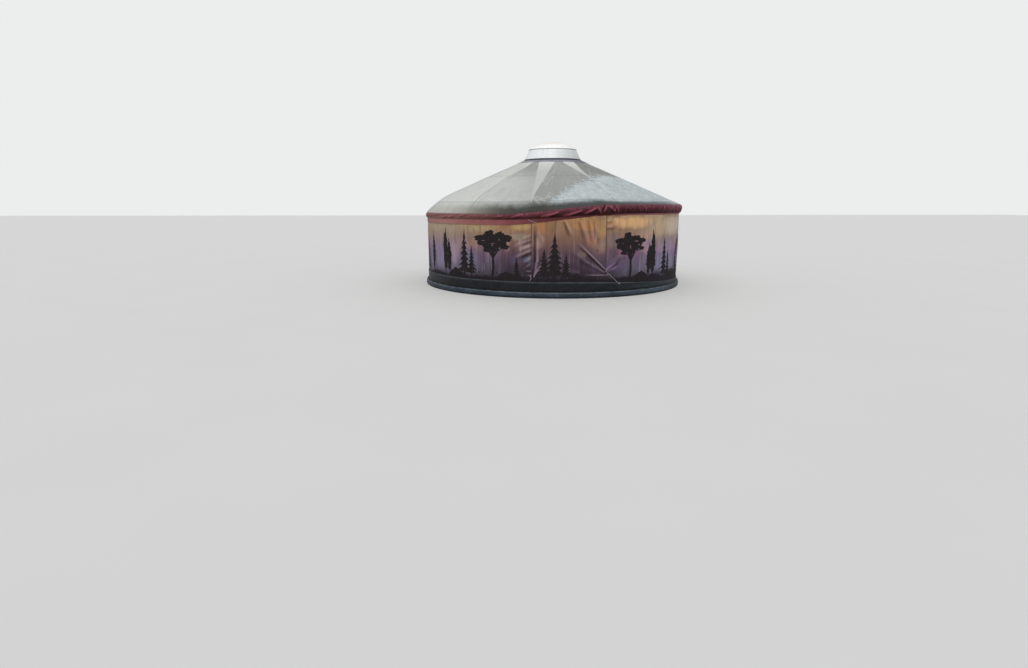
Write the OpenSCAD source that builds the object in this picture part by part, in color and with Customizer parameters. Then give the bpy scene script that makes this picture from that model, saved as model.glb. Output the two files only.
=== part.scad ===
// Round tent house (yurt): a lattice wall and bent roof poles on a round timber platform,
// under a sewn roof cover with a gathered hem. +Z is up, the ground is at z = 0 and the
// doorway faces -Y. Angles round the wall are counted from the doorway towards +X.

/* [Platform] */
// Height of the squared bearers that lie on the ground
bearer_h = 100; // [80:5:140]
// Width of each bearer
bearer_w = 100; // [80:5:140]
// Number of bearers on each side of the middle one
bearer_pairs = 2; // [1:1:3]
// Height of the floor joists
joist_h = 150; // [120:5:180]
// Width of each joist
joist_w = 50; // [40:5:70]
// Number of joists on each side of the middle one
joist_pairs = 5; // [3:1:6]
// Thickness of the floor boards
board_t = 30; // [22:1:40]
// Thickness of the bent board that closes the platform's edge
rim_t = 30; // [20:1:40]
// How far the kerb round the foot stands out from the wall
kerb_out = 67; // [50:1:90]
// Height of the kerb
kerb_h = 130; // [100:5:150]
// Radius of the kerb's rounded top edge
kerb_round = 28; // [10:1:40]
// How far the dark foot band reaches above the floor
skirt_lap = 20; // [10:1:60]
// Thickness of the foot band
skirt_t = 6; // [4:1:10]

/* [Wall] */
// Outside radius of the wall cover
wall_r = 3000; // [2700:10:3300]
// Height of the lattice's top crossings above the floor
head_h = 1366; // [1250:2:1500]
// Thickness of the wall cover
canvas_t = 5; // [3:1:8]
// Thickness of the felt under the cover
felt_t = 25; // [15:1:35]
// Thickness of one lath
lath_t = 13; // [10:1:16]
// Width of one lath
lath_w = 34; // [25:1:40]
// How far the laths run on past the top and bottom crossings
lath_end = 60; // [50:1:70]
// Rows of lattice openings between the bottom and top crossings
lath_rows = 7; // [5:1:9]
// Pole heads on each lattice section
heads = 8; // [7:1:9]
// Pole spacings taken by the doorway
door_bays = 3; // [3:1:4]

/* [Doorway] */
// Width of each door post
post_w = 80; // [60:1:100]
// Depth of the door frame, through the wall
post_d = 90; // [70:1:110]
// Height of the door sill
sill_h = 40; // [25:1:60]
// Height of the door lintel
lintel_h = 90; // [70:1:100]
// Half the angle that the door flap covers
flap_half = 14.3; // [12.5:0.1:16]
// Thickness of the door flap
flap_t = 5; // [3:1:7]
// Width of the doubled strip down the flap's right edge, as an angle
strip_angle = 4.2; // [3:0.1:5]

/* [Roof] */
// Slope of the roof
slope = 23.5; // [22:0.1:25]
// Diameter of a roof pole
pole_d = 40; // [32:1:44]
// Diameter of the pole's tip in the crown
tip_d = 24; // [18:1:28]
// How deep the tip sits in the crown
tip_in = 45; // [30:1:60]
// Length of the pole's taper
taper = 300; // [200:10:400]
// Radius of the bend at the foot of each pole
bend_r = 1175; // [1050:5:1300]
// How far inside the wall's face the bend starts
bend_back = 550; // [500:10:620]
// Height of the poles' feet above the lattice's top crossings
foot_up = 34; // [25:1:50]
// Thickness of the roof cover
cover_t = 5; // [3:1:7]

/* [Hem] */
// Height of the hem's top edge above the lattice's top crossings, at its low side
hem_up = 24; // [10:1:30]
// How much higher the hem sits at its high side
hem_rise = 190; // [0:5:190]
// Height of the gathered roll at the low side
roll_low = 105; // [80:5:130]
// Height of the gathered roll at the high side
roll_high = 182; // [120:1:190]
// How far the gathered roll stands out at the low side
out_low = 26; // [15:1:40]
// How far the gathered roll stands out at the high side
out_high = 96; // [40:1:110]
// Length of the plain strip below the roll at the low side
fall_low = 110; // [60:5:130]
// Length of the plain strip below the roll at the high side
fall_high = 30; // [25:5:130]
// Thickness of the plain strip
fall_t = 4; // [3:1:6]

/* [Crown] */
// Outside radius of the wooden crown ring
crown_r = 640; // [600:5:680]
// Width of the crown ring
crown_w = 80; // [60:1:100]
// Height of the crown ring
crown_h = 96; // [80:1:110]
// Crown bars each way
bars_each = 3; // [2:1:4]
// Width of a crown bar
bar_w = 32; // [24:1:40]
// Height of a crown bar
bar_h = 26; // [20:1:32]
// Rise of the crown bars in the middle
bar_rise = 150; // [100:5:160]
// How far the light curb's foot stands outside the crown ring
curb_over = 32; // [24:1:50]
// How far the curb leans in from its foot to its top
curb_lean = 111; // [70:1:130]
// Height of the curb
curb_h = 218; // [190:1:230]
// Thickness of the curb's wall
curb_t = 8; // [5:1:10]
// How far the dome's rim stands out from the curb's top
rim_out = 10; // [6:1:16]
// Thickness of the dome's rim
rim_h = 12; // [8:1:16]
// Rise of the dome above its rim
dome_rise = 178; // [150:1:200]
// Thickness of the dome
dome_t = 6; // [4:1:8]
// Width of the band that lies on the roof below the curb
band_w = 180; // [120:5:220]

/* [Fits] */
// Gap between pieces that lie against each other
fit = 0.4; // [0.3:0.1:0.6]

/* [Hidden] */
$fn = 256;
eps = 1;
far = 4000;
stations = 96;
step = 360 / stations;
sections = 6;
covers = 6;
first_seam = -3;
half_seam = 0.005;

deck_z = bearer_h + joist_h + board_t;
felt_r = wall_r - canvas_t - fit;
frame_r = felt_r - felt_t - fit;
lattice_in = frame_r - 2 * lath_t;
lattice_mid = frame_r - lath_t;
layer_lap = 1;
skirt_top = deck_z + skirt_lap;
cover_foot = kerb_h + 40;
head_z = deck_z + head_h;
hem_low = head_z + hem_up;

poles = sections * heads + door_bays;
pitch = 360 / poles;
door_half = door_bays / 2 * pitch;
section_angle = heads * pitch;
half_pitch = pitch / 2;

row_mid = deck_z + lath_end + (head_h - lath_end) / 2;
lath_slope = atan2((head_h - lath_end) / 2, lattice_mid * sin(lath_rows * half_pitch / 2));

post_x = lattice_in * sin(door_half) - fit;
post_front = sqrt(pow(wall_r - fit, 2) - pow(post_x, 2)) - fit;

// The bend turns each pole until its foot meets the lattice's inner face.
bend_from = wall_r - bend_back;
foot_turn = asin((lattice_in - bend_from) / bend_r + sin(slope)) - slope;
knee_z = head_z + foot_up + bend_r * (cos(slope) - cos(slope + foot_turn));
tip_end = crown_r - tip_in;
pole_run = (bend_from - tip_end) / cos(slope);

// The cover lies on the poles; its flat facets pass a little inside the true cone.
low_bend = bend_r + pole_d / 2 + cover_t;
cover_gap = fit + wall_r * (1 - cos(step / 2)) * sin(slope);
cover_rise = (cover_t + cover_gap + pole_d / 2) / cos(slope);
hem_in = (wall_r + fit + flap_t) / cos(step / 2) + fit;
hem_out = hem_in + cover_t;

curb_r = crown_r + curb_over;
curb_top_r = curb_r - curb_lean;

// A point at radius r and angle a from the doorway, at height z.
function at(r, a, z) = [r * sin(a), -r * cos(a), z];
function ease(t) = let (u = min(1, max(0, t))) u * u * (3 - 2 * u);
function mix(a, b, t) = a + (b - a) * t;

// 0 on the hem's low side, left of the doorway, and 1 on its high side, right of it.
function rise(a) = let (w = (a + 90) % 360 + (a + 90 < 0 ? 360 : 0))
    w < 180 ? ease((w - 63) / 45) : 1 - ease((w - 180) / 180);
function hem_top(a) = hem_low + hem_rise * rise(a);
function roll_bottom(a) = hem_top(a) - mix(roll_low, roll_high, rise(a));
function fall_bottom(a) = roll_bottom(a) - mix(fall_low, fall_high, rise(a));

// The pole's axis and the roof's outside at radius r, straight above the bend.
function pole_line(r) = knee_z + tan(slope) * (bend_from - r);
function roof_line(r) = pole_line(r) + cover_rise;

// The cover bends down over the poles' feet on the low side and stays straight on the high side.
function roof_z(r, a) = let (run = max(0, r - bend_from) / cos(slope))
    roof_line(r) - (1 - rise(a)) * run * run / (2 * low_bend * cos(slope));

// Poles count from the first lattice head after the doorway; the last ones stand over the lintel.
function pole_angle(i) = door_half + (i + 0.5) * pitch;

// A ring with the given inside and outside radius, between two heights.
module ring(r_in, r_out, z0, z1) {
    translate([0, 0, z0]) difference() {
        cylinder(r = r_out, h = z1 - z0);
        translate([0, 0, -eps]) cylinder(r = r_in, h = z1 - z0 + 2 * eps);
    }
}

// The part of a revolved outline between two angles from the doorway.
module turned(a0, a1) {
    rotate([0, 0, a0 - 90]) rotate_extrude(angle = a1 - a0) children();
}

// A wedge from the axis outwards, between two angles from the doorway.
module wedge(a0, a1) {
    rotate([0, 0, a0 - 90]) rotate_extrude(angle = a1 - a0) square([far, far]);
}

// Platform
module ground_kerb() {
    color([0.16, 0.2, 0.25]) rotate_extrude() {
        translate([felt_r + fit, 0]) square([wall_r + kerb_out - kerb_round - felt_r - fit, kerb_h]);
        square_r = wall_r + kerb_out - kerb_round;
        translate([square_r, 0]) square([kerb_round, kerb_h - kerb_round]);
        intersection() {
            translate([square_r, kerb_h - kerb_round]) circle(r = kerb_round);
            translate([square_r, kerb_h - kerb_round]) square([kerb_round, kerb_round]);
        }
    }
}

module foot_band() {
    color([0.1, 0.12, 0.15]) ring(wall_r + fit, wall_r + fit + skirt_t, kerb_h, skirt_top);
}

module platform_rim() {
    color([0.45, 0.34, 0.24]) ring(felt_r - rim_t, felt_r, 0, deck_z - board_t);
}

module under_floor(z0, z1) {
    intersection() {
        children();
        translate([0, 0, z0]) cylinder(r = felt_r - rim_t - fit, h = z1 - z0);
    }
}

module platform_bearers() {
    gap = (felt_r - rim_t) / (bearer_pairs + 0.6);
    color([0.5, 0.39, 0.27]) for (i = [-bearer_pairs:bearer_pairs])
        under_floor(0, bearer_h)
            translate([-far, i * gap - bearer_w / 2, 0]) cube([2 * far, bearer_w, bearer_h]);
}

module platform_joists() {
    gap = (felt_r - rim_t) / (joist_pairs + 0.6);
    color([0.55, 0.43, 0.3]) for (i = [-joist_pairs:joist_pairs])
        under_floor(bearer_h, bearer_h + joist_h)
            translate([i * gap - joist_w / 2, -far, bearer_h]) cube([joist_w, 2 * far, joist_h]);
}

module floor_deck() {
    color([0.62, 0.48, 0.33]) translate([0, 0, deck_z - board_t]) cylinder(r = felt_r, h = board_t);
}

// Doorway
module door_sill() {
    color([0.5, 0.33, 0.2])
        translate([-post_x + post_w, -post_front, deck_z]) cube([2 * (post_x - post_w), post_d, sill_h]);
}

lintel_top = head_z + 50;
lintel_foot = lintel_top - lintel_h;

module door_posts() {
    color([0.5, 0.33, 0.2]) for (side = [-1, 1])
        translate([side > 0 ? post_x - post_w : -post_x, -post_front, deck_z])
            cube([post_w, post_d, lintel_foot - deck_z]);
}

module door_lintel() {
    color([0.5, 0.33, 0.2]) difference() {
        translate([-post_x, -post_front, lintel_foot]) cube([2 * post_x, post_d, lintel_h]);
        for (i = [-door_bays:-1]) pole(pole_angle(i), fit);
    }
}

module door_flap() {
    color([0.62, 0.45, 0.42]) turned(-flap_half, flap_half)
        translate([wall_r + fit, skirt_top + fit]) square([flap_t, hem_low - 20 - skirt_top]);
}

module flap_strip() {
    from = flap_half - strip_angle;
    color([0.66, 0.5, 0.42]) turned(from, flap_half)
        translate([wall_r + 2 * fit + flap_t, skirt_top + fit])
            square([2, fall_bottom(from) - skirt_top - 2 * fit]);
}

// Lattice wall
// One lath: the part of its layer that a slanted board, set through the wall, cuts out.
module lath(mid_angle, lean) {
    layer = lean > 0 ? [lattice_mid - layer_lap, frame_r] : [lattice_in, lattice_mid + layer_lap];
    depth = lattice_mid * (1 - cos(lath_rows * pitch)) + 4 * lath_t;
    intersection() {
        ring(layer[0], layer[1], deck_z, deck_z + head_h + lath_end);
        rotate([0, 0, mid_angle]) translate([0, -frame_r + depth / 2 - lath_t, row_mid])
            rotate([0, lean * (90 - lath_slope), 0]) cube([lath_w, depth, 2 * head_h], center = true);
    }
}

module lattice(k) {
    from = door_half + (k - 1) * section_angle;
    reach = ceil(lath_rows / 4) + 1;
    color([0.6, 0.35, 0.2]) intersection() {
        wedge(from + asin(fit / 2 / frame_r), from + section_angle - asin(fit / 2 / frame_r));
        union() for (i = [-reach:heads + reach], lean = [-1, 1])
            lath(from + (i + 0.5) * pitch - lean * lath_rows * half_pitch / 2, lean);
    }
}

// Felt and wall cover
module felt(from, count) {
    a0 = door_half + from * section_angle;
    color([0.7, 0.66, 0.58]) turned(a0 + 0.005, a0 + count * section_angle - 0.005)
        translate([felt_r - felt_t, deck_z]) square([felt_t, hem_low - deck_z]);
}

module wall_cover(k) {
    a0 = door_half + (k - 1) * section_angle;
    color([0.6, 0.47, 0.45]) turned(a0 + 0.005, a0 + section_angle - 0.005)
        translate([wall_r - canvas_t, cover_foot]) square([canvas_t, hem_low - cover_foot]);
}

// Roof poles
// Puts a shape that runs in from the start of the bend, along +Y, on the pole's line at angle a.
module on_pole(a) {
    rotate([0, 0, a]) translate([0, -bend_from, knee_z]) rotate([slope, 0, 0]) children();
}

// One pole, made larger all round by grow: a bent foot, a straight length and a tapered tip.
module pole(a, grow = 0) {
    r = pole_d / 2 + grow;
    on_pole(a) {
        rotate([-90, 0, 0]) cylinder(r = r, h = pole_run - tip_in - taper);
        translate([0, pole_run - tip_in - taper, 0]) rotate([-90, 0, 0])
            cylinder(r1 = r, r2 = tip_d / 2 + grow, h = taper);
        translate([0, pole_run - tip_in, 0]) rotate([-90, 0, 0]) cylinder(r = tip_d / 2 + grow, h = tip_in);
        translate([0, 0, -bend_r]) rotate([180, -90, 0])
            rotate_extrude(angle = foot_turn + 3) translate([bend_r, 0]) circle(r = r);
    }
}

module roof_poles(third) {
    color([0.62, 0.3, 0.16]) intersection() {
        union() for (i = [floor((third - 1) * poles / 3):floor(third * poles / 3) - 1]) pole(pole_angle(i));
        cylinder(r = lattice_in - fit, h = far);
    }
}

// Crown
crown_top = pole_line(crown_r - tip_in / 2) + crown_h / 2 - 18;

module crown_ring() {
    color([0.5, 0.3, 0.18]) difference() {
        ring(crown_r - crown_w, crown_r, crown_top - crown_h, crown_top);
        for (i = [0:poles - 1]) on_pole(pole_angle(i)) translate([0, pole_run - 2 * tip_in, 0])
            rotate([-90, 0, 0]) cylinder(r = tip_d / 2 + fit, h = 2 * tip_in + fit);
    }
}

// Two sets of bowed bars cross, the second a little higher, and all end at the ring's top edge.
module crown_bars() {
    inner = crown_r - crown_w - fit;
    gap = 2 * inner / (bars_each + 1);
    color([0.5, 0.3, 0.18]) intersection() {
        translate([0, 0, crown_top - crown_h]) cylinder(r = inner, h = far);
        union() for (way = [0, 1], i = [0:bars_each - 1])
            rotate([0, 0, 90 * way]) crown_bar((i - (bars_each - 1) / 2) * gap, inner, bar_rise + way * bar_h / 2);
    }
}

module crown_bar(off, inner, bow) {
    r = (inner * inner + bow * bow) / (2 * bow);
    translate([0, off + bar_w / 2, crown_top - bar_h + bow * (1 - pow(off / inner, 2)) - r])
        rotate([90, 0, 0]) difference() {
            cylinder(r = r + bar_h, h = bar_w);
            translate([0, 0, -eps]) cylinder(r = r, h = bar_w + 2 * eps);
        }
}

curb_foot = roof_line(curb_r - curb_t) + fit + 12;

module crown_seal() {
    color([0.06, 0.06, 0.07]) rotate_extrude() polygon([
        [curb_r - 3 * curb_t, roof_line(curb_r - 3 * curb_t) + fit], [curb_r, roof_line(curb_r) + fit],
        [curb_r, curb_foot], [curb_r - 3 * curb_t, curb_foot]]);
}

module crown_curb() {
    color([0.88, 0.9, 0.9]) rotate_extrude() polygon([
        [curb_r - curb_t, curb_foot], [curb_r, curb_foot],
        [curb_top_r, curb_foot + curb_h], [curb_top_r - curb_t, curb_foot + curb_h]]);
}

module dome_rim() {
    color([0.75, 0.78, 0.8])
        ring(curb_top_r - 3 * curb_t, curb_top_r + rim_out, curb_foot + curb_h, curb_foot + curb_h + rim_h);
}

module crown_dome() {
    foot = curb_foot + curb_h + rim_h;
    ball = (curb_top_r * curb_top_r + dome_rise * dome_rise) / (2 * dome_rise);
    color([0.9, 0.92, 0.92]) intersection() {
        translate([0, 0, foot + dome_rise - ball]) difference() {
            sphere(r = ball);
            sphere(r = ball - dome_t);
        }
        translate([0, 0, foot]) cylinder(r = far, h = far);
    }
}

module crown_band() {
    color([0.3, 0.3, 0.38]) rotate_extrude() polygon([
        [curb_r + fit, roof_line(curb_r + fit) + fit],
        [curb_r + fit + band_w, roof_line(curb_r + fit + band_w) + fit],
        [curb_r + fit + band_w, roof_line(curb_r + fit + band_w) + fit + 6],
        [curb_r + fit, roof_line(curb_r + fit) + fit + 6]]);
}

// Roof cover and hem
// A closed loft: rings is a list of outlines, each a list of points in the same order.
module loft(rings) {
    n = len(rings);
    m = len(rings[0]);
    points = [for (outline = rings) each outline];
    sides = [for (i = [0:n - 2], j = [0:m - 1]) let (k = (j + 1) % m)
        each [[i * m + j, (i + 1) * m + j, (i + 1) * m + k], [i * m + j, (i + 1) * m + k, i * m + k]]];
    ends = [[for (j = [0:m - 1]) j], [for (j = [m - 1:-1:0]) (n - 1) * m + j]];
    polyhedron(points = points, faces = concat(sides, ends), convexity = 6);
}

// A closed loft that comes back to its first outline.
module loft_round(rings) {
    n = len(rings);
    m = len(rings[0]);
    points = [for (outline = rings) each outline];
    sides = [for (i = [0:n - 1], j = [0:m - 1]) let (k = (j + 1) % m, i2 = (i + 1) % n)
        each [[i * m + j, i2 * m + j, i2 * m + k], [i * m + j, i2 * m + k, i * m + k]]];
    polyhedron(points = points, faces = sides, convexity = 6);
}

bend_steps = [0, 0.3, 0.55, 0.75, 0.92];
cover_edge = crown_r + 12;

// The cover's outline at angle a: down the outside, then back up the inside.
function cover_outline(a) = let (
        drop = cover_t / cos(slope),
        radii = concat([cover_edge, 1500], [for (t = bend_steps) mix(bend_from, hem_out, t)]),
        foot = roll_bottom(a) + 20,
        shoulder = roof_z(hem_out, a)
    ) concat(
        [for (r = radii) at(r, a, roof_z(r, a))],
        [at(hem_out, a, shoulder), at(hem_out, a, foot), at(hem_in, a, foot), at(hem_in, a, shoulder - 2 * cover_t)],
        [for (i = [len(radii) - 1:-1:0]) let (r = radii[i]) at(r, a, roof_z(r, a) - drop * (r > bend_from ? 1.25 : 1))]
    );

// Two gores of the cover, with an open seam on each side of both.
module roof_cover(k) {
    wide = stations / covers / 2;
    color([0.66, 0.68, 0.66]) for (first = [2 * k - 2, 2 * k - 1])
        loft([for (i = [0:wide]) cover_outline((first_seam + first * wide + i) * step
            + (i == 0 ? half_seam : i == wide ? -half_seam : 0))]);
}

function roll_outline(a) = let (
        z0 = roll_bottom(a), z1 = hem_top(a), r0 = hem_out + fit, out = mix(out_low, out_high, rise(a))
    ) [
        at(r0, a, z1), at(r0 + out * 0.75, a, mix(z1, z0, 0.13)), at(r0 + out, a, mix(z1, z0, 0.35)),
        at(r0 + out * 0.8, a, mix(z1, z0, 0.75)), at(r0 + out * 0.3, a, z0), at(r0, a, z0)
    ];

module hem_roll() {
    color([0.42, 0.13, 0.17]) loft_round([for (i = [0:stations - 1]) roll_outline(i * step)]);
}

function fall_outline(a) = let (z0 = fall_bottom(a), z1 = roll_bottom(a) + 20 - fit) [
    at(hem_in, a, z1), at(hem_in + fall_t, a, z1), at(hem_in + fall_t, a, z0), at(hem_in, a, z0)];

module hem_fall() {
    color([0.55, 0.25, 0.3]) loft_round([for (i = [0:stations - 1]) fall_outline(i * step)]);
}

ground_kerb();
foot_band();
platform_rim();
platform_bearers();
platform_joists();
floor_deck();
door_sill();
door_posts();
door_lintel();
door_flap();
flap_strip();
for (k = [1:sections]) {
    lattice(k);
    wall_cover(k);
}
felt(0, 2);  // felt_right
felt(2, 2);  // felt_back
felt(4, 2);  // felt_left
roof_poles(1);  // roof_poles_right
roof_poles(2);  // roof_poles_back
roof_poles(3);  // roof_poles_left
crown_ring();
crown_bars();
crown_seal();
crown_curb();
dome_rim();
crown_dome();
crown_band();
for (k = [1:covers])
    roof_cover(k);
hem_roll();
hem_fall();
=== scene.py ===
import math

import bpy
import numpy as np
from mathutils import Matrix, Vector
from mathutils.geometry import delaunay_2d_cdt


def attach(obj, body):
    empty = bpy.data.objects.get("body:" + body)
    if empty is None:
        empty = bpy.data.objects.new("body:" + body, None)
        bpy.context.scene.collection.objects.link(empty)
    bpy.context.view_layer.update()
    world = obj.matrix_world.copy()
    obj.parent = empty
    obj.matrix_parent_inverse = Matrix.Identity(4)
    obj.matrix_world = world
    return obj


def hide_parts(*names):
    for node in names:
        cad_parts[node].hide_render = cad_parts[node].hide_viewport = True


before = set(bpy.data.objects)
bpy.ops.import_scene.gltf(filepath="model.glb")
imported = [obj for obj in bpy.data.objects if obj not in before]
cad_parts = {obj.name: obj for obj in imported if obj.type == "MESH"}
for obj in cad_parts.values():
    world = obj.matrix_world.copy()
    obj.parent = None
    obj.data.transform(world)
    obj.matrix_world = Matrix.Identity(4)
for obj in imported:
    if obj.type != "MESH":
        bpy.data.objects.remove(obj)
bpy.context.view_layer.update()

scene = bpy.context.scene

# View. The camera stands 15.4 m from the middle of the tent house at eye height, a little left of
# the doorway, and looks slightly down.
scene.view_settings.view_transform = "Standard"
eye = bpy.data.objects.new("eye", bpy.data.cameras.new("eye"))
eye.data.sensor_width = 36
eye.data.lens = 21.71
eye.location = (-1.837, -15.338, 1.871)
eye.rotation_euler = (math.radians(90 - 11.86), 0, math.radians(-3.4))
scene.collection.objects.link(eye)
scene.camera = eye


# Light and floor. An even pale sky and one broad soft lamp high in front light the tent house,
# which stands on a plain pale floor.
def tint(code):
    """A screen colour such as #9fa09d, as a shader takes it."""
    parts = [int(code[i:i + 2], 16) / 255 for i in (1, 3, 5)]
    return tuple(c / 12.92 if c <= 0.04045 else ((c + 0.055) / 1.055) ** 2.4 for c in parts) + (1,)


class Value:
    """A socket that gives a number, a colour or a shape. Its operators add Math nodes."""

    def __init__(self, nodes, socket):
        self.nodes = nodes
        self.socket = socket

    def out(self, name):
        return Value(self.nodes, self.socket.node.outputs[name])

    def math(self, operation, *others):
        return self.nodes.add("ShaderNodeMath", {"operation": operation}, dict(enumerate((self, *others))))

    def __add__(self, other):
        return self.math("ADD", other)

    def __sub__(self, other):
        return self.math("SUBTRACT", other)

    def __rsub__(self, other):
        return self.nodes.add("ShaderNodeMath", {"operation": "SUBTRACT"}, {0: other, 1: self})

    def __mul__(self, other):
        return self.math("MULTIPLY", other)

    __radd__ = __add__
    __rmul__ = __mul__

    def sin(self):
        return self.math("SINE")

    def size(self):
        return self.math("ABSOLUTE")


class Nodes:
    """A node tree, written line by line."""

    def __init__(self, tree):
        self.tree = tree
        tree.nodes.clear()

    def add(self, kind, settings=None, sockets=None, out=0):
        node = self.tree.nodes.new(kind)
        for name, value in (settings or {}).items():
            if name == "stops":
                ramp = node.color_ramp.elements
                while len(ramp) < len(value):
                    ramp.new(0.5)
                for stop, (place, code) in zip(ramp, value):
                    stop.position = place
                    stop.color = tint(code)
            else:
                setattr(node, name, value)
        for key, value in (sockets or {}).items():
            if isinstance(value, Value):
                self.tree.links.new(value.socket, node.inputs[key])
            else:
                node.inputs[key].default_value = tint(value) if str(value).startswith("#") else value
        return Value(self, node.outputs[out]) if node.outputs else node

    def fade(self, value, low, high):
        """0 where the value is low, 1 where it is high, and smooth between."""
        sockets = {"Value": value, "From Min": low, "From Max": high}
        return self.add("ShaderNodeMapRange", {"interpolation_type": "SMOOTHSTEP"}, sockets)

    def blend(self, share, a, b, how="MIX"):
        settings = {"data_type": "RGBA", "blend_type": how}
        return self.add("ShaderNodeMix", settings, {0: share, 6: a, 7: b}, out=2)

    def times(self, vector, by):
        return self.add("ShaderNodeVectorMath", {"operation": "MULTIPLY"}, {0: vector, 1: by})


class Finish(Nodes):
    """A material round one Principled shader, which reads the piece's own coordinates."""

    def __init__(self, name, **constants):
        self.material = bpy.data.materials.new(name)
        self.material.use_nodes = True
        super().__init__(self.material.node_tree)
        self.shader = self.tree.nodes.new("ShaderNodeBsdfPrincipled")
        for socket, value in constants.items():
            self.shader.inputs[socket.replace("_", " ")].default_value = value
        self.add("ShaderNodeOutputMaterial", {}, {"Surface": Value(self, self.shader.outputs[0])})
        self.place = self.add("ShaderNodeTexCoord").out("Object")
        self.x = self.add("ShaderNodeSeparateXYZ", {}, {0: self.place})
        self.y = self.x.out("Y")
        self.z = self.x.out("Z")
        self.relief = None

    def noise(self, scale, detail=3.0, stretch=(1, 1, 1), rough=0.55, at=None, warp=0.0):
        sockets = {"Vector": self.times(at or self.place, stretch), "Scale": scale, "Detail": detail,
                   "Roughness": rough, "Distortion": warp}
        return self.add("ShaderNodeTexNoise", {}, sockets)

    def radius(self):
        return (self.x * self.x + self.y * self.y).math("SQRT")

    def angle(self):
        """Degrees from the doorway towards +X."""
        return self.x.math("ARCTAN2", 0 - self.y) * (180 / math.pi)

    def ahead(self):
        """1 on the doorway's half of the tent house, fading to 0 at the back."""
        return self.fade(self.y, 2.4, 0.4)

    def mark(self, name):
        return self.add("ShaderNodeAttribute", {"attribute_name": name}).out("Fac")

    def bump(self, height, distance, strength):
        sockets = {"Height": height, "Distance": distance, "Strength": strength}
        if self.relief:
            sockets["Normal"] = self.relief
        self.relief = self.add("ShaderNodeBump", {}, sockets)
        self.wear("Normal", self.relief)

    def wear(self, socket, value):
        self.tree.links.new(value.socket, self.shader.inputs[socket])


scene.world = bpy.data.worlds.new("sky")
scene.world.use_nodes = True
sky = Nodes(scene.world.node_tree)
ray = sky.add("ShaderNodeLightPath")
seen = ray.math("MAXIMUM", ray.out("Is Glossy Ray")).math("MAXIMUM", ray.out("Is Transmission Ray"))
light = sky.add("ShaderNodeBackground", {}, {"Color": "#f4f6fa", "Strength": 0.62})
backdrop = sky.add("ShaderNodeBackground", {}, {"Color": "#eceded", "Strength": 1.0})
mixed = sky.add("ShaderNodeMixShader", {}, {0: seen, 1: light, 2: backdrop})
sky.add("ShaderNodeOutputWorld", {}, {"Surface": mixed})

lamp = bpy.data.objects.new("lamp", bpy.data.lights.new("lamp", "SUN"))
lamp.data.energy = 1.55
lamp.data.angle = math.radians(24)
lamp.data.color = (1.0, 0.985, 0.96)
lamp.rotation_euler = (math.radians(50), 0, math.radians(-8))
scene.collection.objects.link(lamp)


def make_piece(name, points, faces, finish, sharp=40, marks=None):
    """A mesh at the origin from one array of points and one of faces with equally many corners."""
    faces = np.asarray(faces, dtype=np.int32)
    mesh = bpy.data.meshes.new(name)
    mesh.vertices.add(len(points))
    mesh.vertices.foreach_set("co", np.ravel(points).astype(np.float32))
    mesh.loops.add(faces.size)
    mesh.loops.foreach_set("vertex_index", faces.ravel())
    mesh.polygons.add(len(faces))
    mesh.polygons.foreach_set("loop_start", np.arange(0, faces.size, faces.shape[1], dtype=np.int32))
    mesh.update(calc_edges=True)
    for mark, values in (marks or {}).items():
        values = np.ravel(values).astype(np.float32)
        mesh.attributes.new(mark, "FLOAT", "POINT").data.foreach_set("value", values)
    mesh.validate()
    mesh.shade_smooth()
    mesh.set_sharp_from_angle(angle=math.radians(sharp))
    mesh.materials.append(finish.material)
    piece = bpy.data.objects.new(name, mesh)
    scene.collection.objects.link(piece)
    return piece


plain = Finish("plain_floor", Roughness=0.9)
plain.wear("Base Color", plain.blend(plain.noise(0.6, 2.0), "#dcdcda", "#e0e0de"))
floor_reach = 90
floor_z = -0.001
floor_corners = [(x * floor_reach, y * floor_reach, floor_z) for x, y in ((-1, -1), (1, -1), (1, 1), (-1, 1))]
floor = make_piece("floor", floor_corners, [(0, 1, 2, 3)], plain)


# Ground kerb. A padded roll, wrapped in dark tarpaulin, lies on the ground round the foot of the
# tent house and keeps draughts and splashes off the platform. Its wrapping is rumpled in places.
def polar(r, a, z):
    """Points at radius r and height z; a is in degrees from the doorway towards +X."""
    turn = np.radians(a)
    return np.stack(np.broadcast_arrays(r * np.sin(turn), -r * np.cos(turn), z), axis=-1)


def ease(t):
    t = np.clip(t, 0, 1)
    return t * t * (3 - 2 * t)


def ripple(a, z, crests, slant, seed):
    """Soft uneven waves round the ring, about 1 high. slant is in degrees for each metre of height."""
    rng = np.random.default_rng(seed)
    total = 0
    for _ in range(9):
        count = max(1, round(crests * rng.uniform(0.45, 1.6)))
        lean = slant * rng.uniform(0.3, 1.5) * rng.choice((-1, 1))
        total = total + np.sin(np.radians(count * (a + lean * z)) + rng.uniform(0, 6.28))
    return total / 3


def spaced(front, back, low=-60, high=70):
    """Angles once round: front degrees apart where most shows, back degrees apart behind."""
    return np.concatenate([np.linspace(low, high, round((high - low) / front), endpoint=False),
                           np.linspace(high, low + 360, round((low + 360 - high) / back), endpoint=False)])


def grid_faces(rows, columns, round_rows=False, round_columns=False):
    """Quads over a grid of points whose columns run towards +X and whose rows run upwards."""
    index = np.arange(rows * columns).reshape(rows, columns)
    if round_rows:
        index = np.vstack([index, index[:1]])
    if round_columns:
        index = np.hstack([index, index[:, :1]])
    corners = [index[:-1, :-1], index[:-1, 1:], index[1:, 1:], index[1:, :-1]]
    return np.stack(corners, axis=-1).reshape(-1, 4)


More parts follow.
